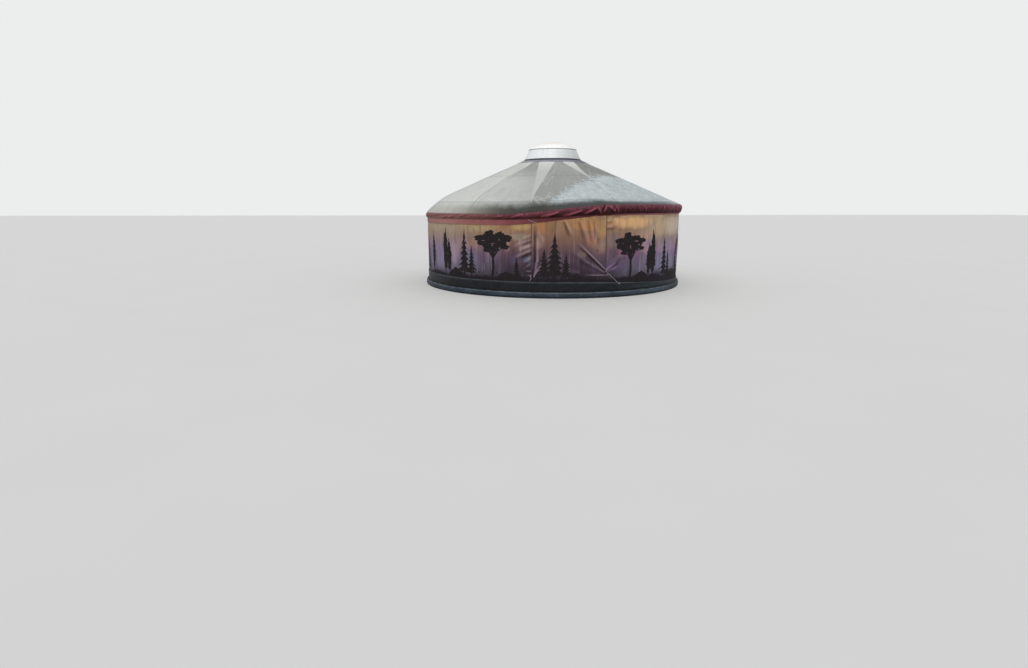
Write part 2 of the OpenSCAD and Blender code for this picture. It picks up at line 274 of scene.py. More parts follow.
kerb_outline = np.array([
    (3.044, 0.000), (3.055, 0.003), (3.0610, 0.014), (3.0640, 0.032), (3.0655, 0.052), (3.0655, 0.072),
    (3.0630, 0.090), (3.0580, 0.105), (3.0500, 0.117), (3.0400, 0.1255), (3.0280, 0.1290), (3.0140, 0.1296),
    (2.9990, 0.1290), (2.9956, 0.1240), (2.9956, 0.0660), (2.9956, 0.0000), (3.0200, 0.0000)])
kerb_a = spaced(0.24, 0.36)[None, :]
kerb_r = kerb_outline[:, :1]
kerb_z = kerb_outline[:, 1:]
outside = ease((kerb_r - 3.02) / 0.03) * ease(kerb_z / 0.02)
rumple = 0.0020 * ripple(kerb_a, kerb_z, 150, 55, 3) + 0.0013 * ripple(kerb_a, kerb_z, 420, 20, 4)
worried = np.exp(-((kerb_a - 33) / 9) ** 2) + 0.8 * np.exp(-((kerb_a + 52) / 12) ** 2)
rumple = rumple - 0.0045 * worried * np.abs(ripple(kerb_a, kerb_z, 260, 70, 5))
rumple = rumple - 0.0040 * worried * np.abs(ripple(kerb_a, kerb_z, 110, 95, 8))
sway = 0.0022 * ripple(kerb_a, 0, 26, 0, 6)
kerb_points = polar(kerb_r + outside * (rumple + sway - 0.0015), kerb_a,
                    kerb_z + ease((kerb_z - 0.05) / 0.07) * (0.0015 * ripple(kerb_a, 0, 60, 0, 7) - 0.002))
kerb_points[..., 2] = np.maximum(kerb_points[..., 2], 0)

tarpaulin = Finish("kerb_tarpaulin", Roughness=0.5, Specular_IOR_Level=0.22)
grain = tarpaulin.noise(260, 2.0)
smear = tarpaulin.noise(3.2, 5.0, stretch=(1, 1, 2.5), warp=0.6)
# The roll's top is painted paler: it is dusty, and it also carries a painted highlight where it faces the
# sky.
top_dust_and_highlight = tarpaulin.fade(tarpaulin.z, 0.088, 0.108) * tarpaulin.fade(smear, 0.18, 0.62)
turned = tarpaulin.angle() + 14 * (smear - 0.5)
aged = tarpaulin.fade(turned, 30, 40) * tarpaulin.fade(turned, 54, 46)
shade = tarpaulin.blend(tarpaulin.fade(smear, 0.35, 0.7), "#212a34", "#333f4b")
shade = tarpaulin.blend(aged * 0.35, shade, "#4c5866")
shade = tarpaulin.blend(top_dust_and_highlight * 0.7, shade, "#626a74")
scuffs = tarpaulin.fade(tarpaulin.noise(22, 4.0, rough=0.7), 0.58, 0.72)
shade = tarpaulin.blend(scuffs * 0.45, shade, "#7b828a")
# Painted shade dims the front of the roll from about 44° to 58° right of the doorway.
shade = tarpaulin.blend(tarpaulin.fade(turned, 44, 58) * tarpaulin.ahead() * 0.6, shade, "#14161b")
# Painted shade dims the foot of the roll where it meets the ground.
ground_contact_shade = tarpaulin.fade(tarpaulin.z + 0.03 * (tarpaulin.noise(9, 4.0) - 0.5), 0.052, 0.018)
shade = tarpaulin.blend(ground_contact_shade * 0.85, shade, "#0c0f14")
# Painted shadow fills the roll's inner top, in the gap under the foot band.
gap = tarpaulin.fade(tarpaulin.radius() + 0.006 * (smear - 0.5), 3.052, 3.040)
shade = tarpaulin.blend(gap * 0.9, shade, "#08090c")
tarpaulin.wear("Base Color", shade)
tarpaulin.wear("Roughness", 0.38 + 0.35 * smear + 0.15 * top_dust_and_highlight)
tarpaulin.bump(grain, 0.0004, 0.6)
tarpaulin.bump(tarpaulin.noise(24, 4.0, stretch=(1, 1, 0.5), warp=1.2), 0.004, 0.5)
kerb = make_piece("kerb_roll", kerb_points.reshape(-1, 3),
                  grid_faces(len(kerb_outline), kerb_a.size, True, True), tarpaulin)
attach(kerb, "root")
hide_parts("ground_kerb")


# Platform. Sawn softwood bearers lie on the ground and carry joists, and one bent board closes the
# round edge. The timber is untreated and has greyed a little with damp.
def timber(name, pale, dark, stretch, rough=0.7):
    """Sawn or planed wood; stretch is small along the grain."""
    wood = Finish(name, Roughness=rough)
    figure = wood.noise(26, 4.0, stretch=stretch, rough=0.6, warp=0.8)
    fibre = wood.noise(150, 3.0, stretch=stretch, rough=0.7)
    shade = wood.blend(wood.fade(figure, 0.3, 0.7), dark, pale)
    shade = wood.blend(0.25 * fibre, shade, dark, "MULTIPLY")
    knot_stretch = tuple(0.35 + 0.65 * s for s in stretch)
    knot = wood.fade(wood.noise(4.5, 1.0, stretch=knot_stretch), 0.70, 0.76)
    shade = wood.blend(knot * 0.7, shade, "#3a2415")
    wood.wear("Base Color", shade)
    wood.wear("Roughness", rough - 0.12 + 0.24 * figure)
    wood.bump(fibre, 0.0006, 0.5)
    wood.bump(figure, 0.0012, 0.3)
    return wood


def dress(finish, *nodes):
    """Gives a node of the frame its finish."""
    for node in nodes:
        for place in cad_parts[node].material_slots:
            place.material = finish.material


dress(timber("bearer_timber", "#9b8266", "#6f5840", (0.06, 1, 1)), "platform_bearers")
dress(timber("joist_timber", "#a38a6b", "#765d44", (1, 0.06, 1)), "platform_joists")
dress(timber("rim_timber", "#8f775c", "#604c38", (0.5, 0.5, 1.4)), "platform_rim")

# Floor boards. Planed pine boards lie across the joists, are cut to the round edge and nailed
# down with pairs of flat-headed nails.
deck_top = 0.280
deck_r = 2.9935
board_w = 0.119
board_pitch = 0.1195
joist_pitch = 0.5294


def board_joint(k):
    """Where board k is cut: over a joist, a few along from its neighbour's."""
    return joist_pitch * ((k * 3) % 7 - 3)


board_points = []
board_faces = []
for k in range(-25, 26):
    low, high = k * board_pitch - board_w / 2, k * board_pitch + board_w / 2
    if max(abs(low), abs(high)) > deck_r - 0.01:
        low, high = max(low, -deck_r + 0.01), min(high, deck_r - 0.01)
    if high - low < 0.02:
        continue
    across = np.linspace(low, high, 5)
    reach = np.sqrt(deck_r ** 2 - across ** 2)
    joint = board_joint(k)
    halves = [(-reach, np.full(5, joint - 0.001)), (np.full(5, joint + 0.001), reach)]
    for left, right in halves if abs(joint) < reach.min() - 0.1 else [(-reach, reach)]:
        if np.min(right - left) < 0.05:
            continue
        rim_loop = np.vstack([np.stack([left, across], 1), np.stack([right, across], 1)[::-1]])[::-1]
        inset = rim_loop + (rim_loop.mean(axis=0) - rim_loop) * np.array([0.0015, 0.02])
        base = len(board_points)
        count = len(rim_loop)
        for loop, z in ((rim_loop, deck_top - 0.030), (rim_loop, deck_top - 0.0015), (inset, deck_top)):
            board_points += [(x, y, z) for x, y in loop]
        for level in (0, 1):
            for j in range(count):
                n = (j + 1) % count
                a, b = base + level * count + j, base + level * count + n
                board_faces += [(a, a + count, b + count), (a, b + count, b)]
        for j in range(1, count - 1):
            board_faces.append((base, base + j, base + j + 1))
            board_faces.append((base + 2 * count, base + 2 * count + j + 1, base + 2 * count + j))

pine = timber("floor_pine", "#b89468", "#8d6a45", (0.05, 1, 1), rough=0.5)
across_board = ((pine.y + board_pitch / 2) * (1 / board_pitch)).math("FRACT").math("PINGPONG", 0.5)
pine.bump(pine.fade(across_board, 0.0, 0.02), 0.002, 0.5)
boards = make_piece("floor_boards", board_points, board_faces, pine, sharp=20)
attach(boards, "root")
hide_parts("floor_deck")


def grow(name, base, inputs, build, finish):
    """Runs a Geometry Nodes tree on a base mesh and keeps the result as a plain mesh."""
    tree = bpy.data.node_groups.new(name, "GeometryNodeTree")
    tree.interface.new_socket("Geometry", in_out="INPUT", socket_type="NodeSocketGeometry")
    tree.interface.new_socket("Geometry", in_out="OUTPUT", socket_type="NodeSocketGeometry")
    for label in inputs:
        tree.interface.new_socket(label, in_out="INPUT", socket_type="NodeSocketFloat")
    nodes = Nodes(tree)
    start = nodes.add("NodeGroupInput")
    real = nodes.add("GeometryNodeRealizeInstances", {}, {0: build(nodes, start)})
    dressed = nodes.add("GeometryNodeSetMaterial", {}, {0: real, 2: finish.material})
    nodes.add("NodeGroupOutput", {}, {0: dressed})
    run = base.modifiers.new(name, "NODES")
    run.node_group = tree
    for socket in tree.interface.items_tree:
        if socket.in_out == "INPUT" and socket.name in inputs:
            run[socket.identifier] = float(inputs[socket.name])
    mesh = bpy.data.meshes.new_from_object(base.evaluated_get(bpy.context.evaluated_depsgraph_get()))
    base.modifiers.remove(run)
    bpy.data.objects.remove(base)
    mesh.name = name
    mesh.shade_smooth()
    mesh.set_sharp_from_angle(angle=math.radians(40))
    piece = bpy.data.objects.new(name, mesh)
    scene.collection.objects.link(piece)
    return piece


def seeds(name, points, facing=None):
    """Loose points for Geometry Nodes, each with the direction that its copy faces."""
    mesh = bpy.data.meshes.new(name)
    mesh.from_pydata([tuple(p) for p in points], [], [])
    if facing is not None:
        rows = np.ravel(facing).astype(np.float32)
        mesh.attributes.new("facing", "FLOAT_VECTOR", "POINT").data.foreach_set("vector", rows)
    base = bpy.data.objects.new(name, mesh)
    scene.collection.objects.link(base)
    return base


def facing_turn(nodes):
    toward = nodes.add("GeometryNodeInputNamedAttribute", {"data_type": "FLOAT_VECTOR"}, {"Name": "facing"})
    return nodes.add("FunctionNodeAlignRotationToVector", {"axis": "Z"}, {"Vector": toward})


nail_spots = []
for k in range(-24, 25):
    joint = board_joint(k)
    for i in range(-5, 6):
        joist = i * joist_pitch
        for side in (-0.034, 0.034):
            y = k * board_pitch + side
            for x in (joint - 0.014, joint + 0.014) if abs(joist - joint) < 0.01 else (joist,):
                if math.hypot(x, y) < deck_r - 0.02:
                    nail_spots.append((x, y, deck_top + 0.0004))


def nail_heads(nodes, start):
    head = nodes.add("GeometryNodeMeshCylinder", {},
                     {"Vertices": 7, "Radius": start.out("Head radius"), "Depth": 0.0016})
    return nodes.add("GeometryNodeInstanceOnPoints", {}, {"Points": start, "Instance": head})


steel = Finish("nail_steel", Metallic=0.9, Roughness=0.45)
steel.wear("Base Color", steel.blend(steel.noise(40), "#6b655c", "#4a3b2f"))
nails = grow("floor_nails", seeds("nail_spots", nail_spots), {"Head radius": 0.0035}, nail_heads, steel)
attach(nails, "root")

# Door frame. Two posts, a sill and a drilled lintel of planed timber stand in the gap of the
# lattice, stained red-brown and varnished. The lintel carries the feet of three roof poles.
dress(timber("post_timber", "#8b5233", "#5c311d", (1, 1, 0.07), rough=0.45), "door_posts")
dress(timber("lintel_timber", "#8b5233", "#5c311d", (0.07, 1, 1), rough=0.45), "door_lintel", "door_sill")

# Lattice wall. Split willow laths cross in two layers and are pinned where they cross with knotted
# rawhide, so that each of the six sections can fold. The knots sit on the room side.
dress(timber("lath_willow", "#a3683f", "#6d3d22", (1, 1, 0.3), rough=0.5),
      *[f"lattice_{k}" for k in range(1, 7)])
pitch = 360 / 51
half_door = 1.5 * pitch
knot_r = 2.9423
lowest_knot = 0.340
knots_tall = 1.306
knot_spots = []
for row in range(8):
    for i in range(48 if row % 2 else 49):
        angle = half_door + (i + (0.5 if row % 2 else 0.0)) * pitch
        angle += {0: 0.25, 48: -0.25}.get(i, 0) if row % 2 == 0 else 0
        knot_spots.append(polar(knot_r, angle, lowest_knot + row * knots_tall / 7))
knot_spots = np.array(knot_spots)


def rawhide_knots(nodes, start):
    turn = facing_turn(nodes)
    lump = nodes.add("GeometryNodeMeshIcoSphere", {}, {"Radius": start.out("Knot radius"), "Subdivisions": 2})
    flat = nodes.add("GeometryNodeTransform", {}, {"Geometry": lump, "Scale": (1, 1, 0.55)})
    tail = nodes.add("GeometryNodeMeshCylinder", {},
                     {"Vertices": 6, "Radius": 0.0022, "Depth": start.out("Tail length")})
    tail = nodes.add("GeometryNodeTransform", {}, {"Geometry": tail, "Rotation": (1.35, 0.3, 0.9),
                                                   "Translation": (0.006, -0.004, 0.003)})
    both = nodes.add("GeometryNodeJoinGeometry", {}, {0: flat})
    nodes.tree.links.new(tail.socket, both.socket.node.inputs[0])
    spin = nodes.add("FunctionNodeRandomValue", {"data_type": "FLOAT_VECTOR"},
                     {0: (0, 0, 0), 1: (0, 0, 6.28), "Seed": 7})
    turned = nodes.add("FunctionNodeRotateRotation", {"rotation_space": "LOCAL"}, {0: turn, 1: spin})
    return nodes.add("GeometryNodeInstanceOnPoints", {},
                     {"Points": start, "Instance": both, "Rotation": turned})


rawhide = Finish("rawhide", Roughness=0.6)
rawhide.wear("Base Color", rawhide.blend(rawhide.noise(120), "#b79a72", "#7d5c3c"))
rawhide.bump(rawhide.noise(300), 0.0006, 0.6)
inward = -knot_spots * (1, 1, 0)
knots = grow("lattice_knots", seeds("knot_spots", knot_spots, inward),
             {"Knot radius": 0.0085, "Tail length": 0.022}, rawhide_knots, rawhide)
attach(knots, "root")


# Felt lining. Pressed sheep's wool, cream and grey, hangs round the outside of the lattice from the
# eave to the floor, and is open at the doorway.
def rise(a):
    """0 on the hem's low side, left of the doorway, and 1 on its high side, right of it."""
    w = (np.asarray(a) + 90) % 360
    return np.where(w < 180, ease((w - 63) / 45), 1 - ease((w - 180) / 180))


hem_low = 1.670
hem_climb = 0.190


def hem_top(a):
    return hem_low + hem_climb * rise(a)


def roll_foot(a):
    return hem_top(a) - 0.105 - 0.077 * rise(a)


def fall_foot(a):
    return roll_foot(a) - 0.110 + 0.080 * rise(a)


def grid_normals(points, closed):
    along = np.roll(points, -1, 1) - np.roll(points, 1, 1) if closed else np.gradient(points, axis=1)
    across = np.cross(along, np.gradient(points, axis=0))
    return across / np.linalg.norm(across, axis=-1, keepdims=True)


def make_cloth(name, skin, thick, finish, closed=False, sharp=50, marks=None):
    """A closed sheet under a grid of points whose columns run towards +X and whose rows run upwards."""
    rows, columns = skin.shape[:2]
    index = np.arange(rows * columns).reshape(rows, columns)
    back = index + rows * columns
    if closed:
        index = np.hstack([index, index[:, :1]])
        back = np.hstack([back, back[:, :1]])
    front_faces = grid_faces(rows, columns, False, closed)
    foot = np.stack([index[0, :-1], back[0, :-1], back[0, 1:], index[0, 1:]], -1)
    head = np.stack([index[-1, :-1], index[-1, 1:], back[-1, 1:], back[-1, :-1]], -1)
    faces = [front_faces, front_faces[:, ::-1] + rows * columns, foot, head]
    if not closed:
        faces.append(np.stack([index[:-1, 0], index[1:, 0], back[1:, 0], back[:-1, 0]], -1))
        faces.append(np.stack([index[:-1, -1], back[:-1, -1], back[1:, -1], index[1:, -1]], -1))
    points = np.concatenate([skin.reshape(-1, 3), (skin - thick * grid_normals(skin, closed)).reshape(-1, 3)])
    marks = {mark: np.concatenate([np.ravel(v), np.ravel(v)]) for mark, v in (marks or {}).items()}
    return make_piece(name, points, np.concatenate(faces), finish, sharp, marks)


def relief(radius, across, up, deep):
    """Near 1 on a cloth's crests and near 0 in its hollows: each point's radius against those around it."""
    near = [np.roll(radius, step, 1) for step in (-across, across)]
    low, high = np.vstack([radius[:1]] * up + [radius[:-up]]), np.vstack([radius[up:]] + [radius[-1:]] * up)
    return 0.5 + 0.5 * np.tanh((radius - (near[0] + near[1] + low + high) / 4) / deep)


felt_face = 2.9925
felt_foot, felt_head = 0.2808, 1.668
felt_a = np.linspace(half_door + 0.06, 360 - half_door - 0.06, 460)[None, :]
felt_z = np.linspace(felt_foot, felt_head, 12)[:, None]
felt_r = felt_face + 0.0012 * ripple(felt_a, felt_z, 40, 10, 11)
wool = Finish("wool_felt", Roughness=0.95, Sheen_Weight=0.4)
tuft = wool.noise(75, 5.0, rough=0.7)
wool.wear("Base Color", wool.blend(wool.fade(tuft + 0.4 * wool.noise(5), 0.5, 0.95), "#b3a58c", "#837765"))
wool.bump(tuft, 0.003, 0.8)
felt = make_cloth("felt_lining", polar(felt_r, felt_a, felt_z), 0.013, wool)
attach(felt, "root")
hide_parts("felt_right", "felt_back", "felt_left")


# Wall cover. Cotton canvas hangs from the eave round the felt in two lengths, lapped at the back.
# It is painted with a dusk sky, and is drawn into folds beside the doorway by the flap's ties.
metres = math.radians(3.0)  # of wall for each degree
wall_face = 3.0008
canvas_foot = 0.172


def signed(a):
    """The same angle, from -180 to 180 degrees."""
    return (np.asarray(a) + 180) % 360 - 180


def weave(finish, across, up, threads, grain):
    """Presses woven threads into a cloth; threads and grain say how fine they are."""
    crossing = (across * threads).sin() * (up * threads).sin()
    finish.bump(crossing + 2.0 * finish.noise(grain, 1.0), 0.00025, 0.35)


def folds(a, z, lines):
    """Folds in a cloth: how far they stand out, how much they catch the light, and their shade.

    A line gives the (angle, height) points where a fold starts, faint and wide, and where it is drawn
    tight, how high it is, how wide, and how steep its shaded side is, which faces down or to the left.
    """
    stand, light, shade = 0, 0, 0
    for start, end, tall, wide, steep in lines:
        first = np.array(start) * (metres, 1)
        line = np.array(end) * (metres, 1) - first
        length = np.hypot(*line)
        x, y = a * metres - first[0], z - first[1]
        along = (x * line[0] + y * line[1]) / length ** 2
        side = (y * line[0] - x * line[1]) / length
        if 0.8 * line[0] - 0.6 * line[1] < 0:
            side = -side
        side = side + 0.015 * length * np.sin(math.pi * np.clip(along, 0, 1)) * math.cos(7 * start[0])
        drawn = ease(along / 0.6 + 0.1) * ease((1 - along) * length / 0.05 + 0.6)
        reach = wide * (1.6 - 0.7 * np.clip(along, 0, 1))
        stand = stand + tall * drawn * np.exp(-(side / (reach * np.where(side > 0, 1, steep))) ** 2)
        strong = min(1.5, tall / 0.014) * drawn
        light = light + strong * np.exp(-((side - 0.2 * reach) / (0.75 * reach)) ** 2)
        shade = shade + strong * np.exp(-((side + 1.15 * reach) / (0.85 * reach)) ** 2)
    return stand, np.clip(light, 0, 1.5), np.clip(shade, 0, 1.2)


wall_lines = [
    ((-19.8, 1.150), (-13.2, 1.285), 0.006, 0.034, 0.5), ((-21.9, 1.045), (-13.2, 1.185), 0.007, 0.040, 0.5),
    ((-20.4, 0.945), (-13.2, 1.075), 0.010, 0.044, 0.4), ((-21.7, 0.800), (-13.2, 0.985), 0.013, 0.032, 0.35),
    ((-18.6, 0.675), (-13.2, 0.850), 0.006, 0.036, 0.5), ((-17.6, 0.585), (-13.2, 0.725), 0.005, 0.028, 0.5),
    ((-17.2, 0.535), (-13.2, 0.537), 0.008, 0.015, 0.6), ((-16.5, 0.448), (-13.2, 0.458), 0.007, 0.014, 0.6),
    ((-18.9, 1.090), (-15.6, 1.150), 0.004, 0.020, 0.6), ((-17.8, 0.905), (-14.6, 0.985), 0.004, 0.016, 0.6),
    ((-24.3, 1.260), (-23.8, 0.940), 0.004, 0.050, 0.9), ((-33.5, 1.150), (-33.0, 0.700), 0.003, 0.055, 0.9),
    ((-45.5, 1.180), (-44.8, 0.700), 0.003, 0.055, 0.9), ((-58.0, 0.700), (-57.5, 1.200), 0.003, 0.060, 0.9),
    ((19.4, 1.600), (13.5, 1.530), 0.007, 0.026, 0.4), ((19.6, 1.480), (13.5, 1.385), 0.010, 0.026, 0.35),
    ((20.5, 0.765), (13.9, 0.530), 0.008, 0.026, 0.5), ((21.4, 0.635), (13.9, 0.515), 0.006, 0.026, 0.5),
    ((16.8, 0.452), (13.0, 0.455), 0.009, 0.017, 0.6), ((25.0, 0.980), (16.5, 0.700), 0.003, 0.050, 0.8),
    ((33.0, 0.700), (36.5, 1.100), 0.003, 0.055, 0.9), ((47.0, 0.950), (49.0, 1.380), 0.003, 0.055, 0.9),
    ((58.0, 1.300), (57.0, 0.800), 0.003, 0.060, 0.9)]


def wall_skin(a, z):
    """Radius of the painted canvas's face."""
    free = ease((fall_foot(a) - 0.015 - z) / 0.12) * ease((z - band_top(a) - 0.01) / 0.10)
    around = signed(a)
    beside = ease((np.abs(around) - 14.0) / 1.2)
    loose = 0.0028 * ripple(a, z, 26, 5, 21) + 0.0018 * ripple(a, z, 85, 4, 22)
    loose = loose + 0.0007 * ripple(a, z, 240, 9, 23) + folds(around, z, wall_lines)[0]
    return wall_face + beside * free * (0.0045 + np.clip(loose, -0.005, 0.028))


def band_top(a):
    """Height of the dark foot band's upper edge: slack on the right of the doorway."""
    w = np.asarray(a) % 360
    return 0.330 - 0.125 * np.where(w < 100, ease(w / 64), 1 - ease((w - 110) / 90))


def dusk_canvas(name, washes):
    """Painted canvas: a dusk sky, darkest by the doorway, with washes of other colours brushed over it.
    A few of the washes are painted light and painted shade.

    A wash has its middle's angle and height, half its width in degrees and half its height in metres.
    """
    paint = Finish(name, Roughness=0.82, Specular_IOR_Level=0.15)
    broad = paint.noise(0.9, 3.0, rough=0.5)
    brush = paint.noise(11, 4.0, stretch=(1, 1, 0.07), rough=0.6)
    soft = paint.noise(5.0, 4.0, stretch=(1, 1, 0.7), rough=0.6)
    level = paint.z + 0.14 * (broad - 0.5) + 0.07 * (brush - 0.5) + 0.05 * (soft - 0.5)
    place = paint.add("ShaderNodeMapRange", {}, {"Value": level, "From Min": 0.25, "From Max": 1.65})
    deep = [(0.10, "#241d24"), (0.24, "#382c38"), (0.39, "#4b3a47"), (0.54, "#644b4c"), (0.70, "#7e5f4e"),
            (0.93, "#9c7550")]
    pale = [(0.10, "#4d4857"), (0.22, "#6f6a7e"), (0.40, "#7f6c88"), (0.55, "#917b87"), (0.72, "#9b8a7c"),
            (0.93, "#b09d80")]
    deep = paint.add("ShaderNodeValToRGB", {"stops": deep}, {0: place})
    pale = paint.add("ShaderNodeValToRGB", {"stops": pale}, {0: place})
    # The sky deepens towards the doorway: partly the painting's own colour, partly painted shade.
    aside = (paint.x + 0.25 + 0.9 * (broad - 0.5)).size()
    shade = paint.blend(paint.fade(aside, 0.7, 2.7), deep, pale)
    turn = paint.angle()
    across, up = turn + 5.0 * (soft - 0.5) + 3.0 * (brush - 0.5), level + 0.10 * (soft - 0.5)
    for angle, height, wide, tall, code, strength in washes:
        aside, above = (across - angle) * (1 / wide), (up - height) * (1 / tall)
        shade = paint.blend(paint.fade(aside * aside + above * above, 1.3, 0.0) * strength, shade, code)
    fine = paint.noise(30, 3.0, stretch=(1, 1, 0.05), rough=0.6)
    shade = paint.blend(paint.fade(brush, 0.50, 0.78) * 0.40, shade, "#6a5e66", "MULTIPLY")
    shade = paint.blend(paint.fade(brush, 0.50, 0.26) * 0.22, shade, "#6e6468", "SCREEN")
    shade = paint.blend(paint.fade(fine, 0.45, 0.72) * 0.20, shade, "#4a4048")
    shade = paint.blend(paint.fade(fine, 0.45, 0.25) * 0.16, shade, "#d2c2b8")
    mottle = paint.noise(20, 5.0, rough=0.75)
    shade = paint.blend(paint.fade(mottle, 0.54, 0.74) * 0.24, shade, "#cdbcae", "SOFT_LIGHT")
    shade = paint.blend(paint.fade(mottle, 0.46, 0.28) * 0.26, shade, "#4a4046")
    chip = paint.fade(paint.noise(34, 3.0, rough=0.8), 0.66, 0.76)
    shade = paint.blend(chip * 0.30, shade, "#c4b0a4")
    # Painted highlight on the cloth's crests and painted shade in its hollows, and more of both along the
    # folds.
    crest = paint.mark("crest")
    shade = paint.blend(paint.fade(crest, 0.55, 0.95) * 0.22, shade, "#6e6468", "SCREEN")
    shade = paint.blend(paint.fade(crest, 0.45, 0.05) * 0.40, shade, "#6a5a60", "MULTIPLY")
    shade = paint.blend(paint.mark("shade") * 0.80, shade, "#55444d", "MULTIPLY")
    shade = paint.blend(paint.mark("light") * 0.85, shade, "#6c5c64", "SCREEN")
    # Painted shadow, with some grime, in a narrow band beside each edge of the flap.
    flap_edge_shadow_and_grime = paint.fade((turn.size() - 14.55).size(), 0.42, 0.12)
    shade = paint.blend(flap_edge_shadow_and_grime * 0.55, shade, "#3d3034")
    mound = paint.noise(1.7, 4.0, stretch=(1, 1, 0.4))
    ground = paint.fade(paint.z + 0.26 * (mound - 0.5) + 0.03 * (brush - 0.5), 0.43, 0.355)
    shade = paint.blend(ground * 0.93, shade, "#1d181e")
    drip = paint.fade(paint.noise(16, 3.0, stretch=(1, 1, 0.04)), 0.6, 0.75) * paint.fade(paint.z, 1.2, 1.75)
    shade = paint.blend(drip * 0.30, shade, "#6f5a45")
    paint.wear("Base Color", shade)
    paint.wear("Roughness", 0.72 + 0.2 * mottle)
    wrinkle = paint.noise(7.5, 5.0, stretch=(1, 1, 0.45), warp=0.7)
    paint.bump(wrinkle, 0.020, 0.5)
    weave(paint, turn * metres, paint.z, 2600, 420)
    return paint


canvas = dusk_canvas("painted_canvas", [
    (-63, 0.75, 9.0, 0.32, "#8d82a0", 0.6), (-51, 0.84, 4.5, 0.28, "#a08a96", 0.7),
    (-45.5, 1.03, 4.0, 0.17, "#a58a90", 0.7), (-42.5, 0.75, 4.5, 0.20, "#6d6f89", 0.7),
    (-37.0, 1.43, 9.0, 0.12, "#a6946f", 0.6), (-39.5, 1.08, 3.5, 0.12, "#94735f", 0.6),
    (-30.0, 0.95, 4.5, 0.20, "#665568", 0.6), (-24.2, 1.12, 1.8, 0.20, "#9a7b72", 0.6),
    (-18.5, 1.43, 4.5, 0.10, "#b19560", 0.7), (-19.3, 1.23, 3.4, 0.08, "#867e6d", 0.7),
    (-17.3, 1.02, 3.8, 0.14, "#a38384", 0.7), (-15.6, 0.78, 2.4, 0.08, "#5b6176", 0.8),
    (-21.0, 0.78, 3.5, 0.12, "#54465f", 0.6), (16.2, 1.43, 3.0, 0.06, "#ab7a4c", 0.6),
    (16.8, 1.54, 3.5, 0.05, "#c8a67c", 0.7), (27.0, 1.50, 11.0, 0.14, "#dcae7c", 0.75),
    (43.0, 1.38, 8.0, 0.20, "#c2a58a", 0.6), (35.0, 1.24, 6.0, 0.12, "#b8927e", 0.5),
    # The pale wash at 42° along the top edge is painted light, lifting the wall out of the hem roll's shadow.
    (42.0, 1.650, 32.0, 0.04, "#e0bea2", 0.5), (17.8, 1.17, 3.6, 0.20, "#7b6a66", 0.8),
    (18.0, 0.92, 3.6, 0.14, "#55465a", 0.6), (24.5, 1.16, 4.5, 0.13, "#a07474", 0.5),
    (24.8, 0.93, 5.0, 0.15, "#96597e", 0.75), (18.0, 0.64, 4.5, 0.12, "#62507a", 0.6),
    (36.0, 1.02, 6.0, 0.16, "#a98a9e", 0.6), (48.0, 0.64, 13.0, 0.22, "#807e98", 0.65),
    (58.0, 1.42, 13.0, 0.24, "#cab8a4", 0.85), (50.0, 0.94, 9.0, 0.16, "#a189a6", 0.6),
    (-20.0, 1.22, 6.0, 0.07, "#92806c", 0.5)])
canvas_rows = np.concatenate([np.linspace(0, 0.80, 76, endpoint=False), np.linspace(0.80, 1, 8)])[:, None]
canvas_sides = {"left": np.concatenate([np.linspace(178.5, 296, 150, endpoint=False),
                                        np.linspace(296, 360 - half_door - 0.05, 215)]),
                "right": np.concatenate([np.linspace(half_door + 0.05, 66, 222, endpoint=False),
                                         np.linspace(66, 181.5, 148)])}
for side, columns in canvas_sides.items():
    lap = 0.0016 * (side == "left") * ease((185 - columns[None, :]) / 3)
    canvas_a = columns[None, :]
    canvas_z = canvas_foot + (roll_foot(canvas_a) + 0.012 - canvas_foot) * canvas_rows
    canvas_r = wall_skin(canvas_a, canvas_z) + lap
    _, light, shade = folds(signed(canvas_a), canvas_z, wall_lines)
    marks = {"crest": relief(canvas_r, 5, 3, 0.0040), "light": light, "shade": shade}
    wall_canvas = make_cloth(f"wall_canvas_{side}", polar(canvas_r, canvas_a, canvas_z), 0.0012, canvas,
                             marks=marks)
    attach(wall_canvas, "root")
    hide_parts(*[f"wall_cover_{k}" for k in ((1, 2, 3) if side == "right" else (4, 5, 6))])


# Door flap. One width of the same painted canvas hangs over the doorway from the hem. Its lower
# right corner is pulled aside by a tie, which draws long folds across it. Its right edge is doubled.
flap_lines = [
    ((2.9, 1.130), (15.1, 0.530), 0.030, 0.019, 0.5), ((4.6, 0.800), (14.5, 0.500), 0.007, 0.024, 0.5),
    ((5.2, 0.466), (16.0, 0.448), 0.011, 0.017, 0.6), ((1.6, 1.200), (-1.7, 1.540), 0.011, 0.034, 0.6),
    ((8.6, 0.950), (4.1, 1.540), 0.008, 0.042, 0.6), ((10.2, 0.930), (7.7, 1.545), 0.006, 0.036, 0.6),
    ((11.0, 1.150), (9.9, 1.550), 0.006, 0.026, 0.7), ((-5.0, 1.180), (-4.2, 1.540), 0.004, 0.050, 0.8),
    ((-11.7, 1.520), (-12.2, 0.730), 0.014, 0.034, 0.9), ((-12.1, 0.860), (-13.5, 0.430), 0.013, 0.026, 0.9),
    ((-10.4, 0.720), (-13.6, 0.440), 0.009, 0.021, 0.6), ((-8.6, 0.900), (-13.0, 0.500), 0.005, 0.030, 0.6),
    ((-9.5, 1.080), (-11.6, 1.300), 0.005, 0.034, 0.7), ((-8.0, 0.620), (4.0, 0.520), 0.003, 0.050, 0.8),
    ((0.5, 0.980), (7.5, 0.700), 0.004, 0.045, 0.7)]


flap_foot, flap_head = 0.3006, 1.650
flap_face = 3.0050
flap_side = 14.3  # degrees from its middle to its edge


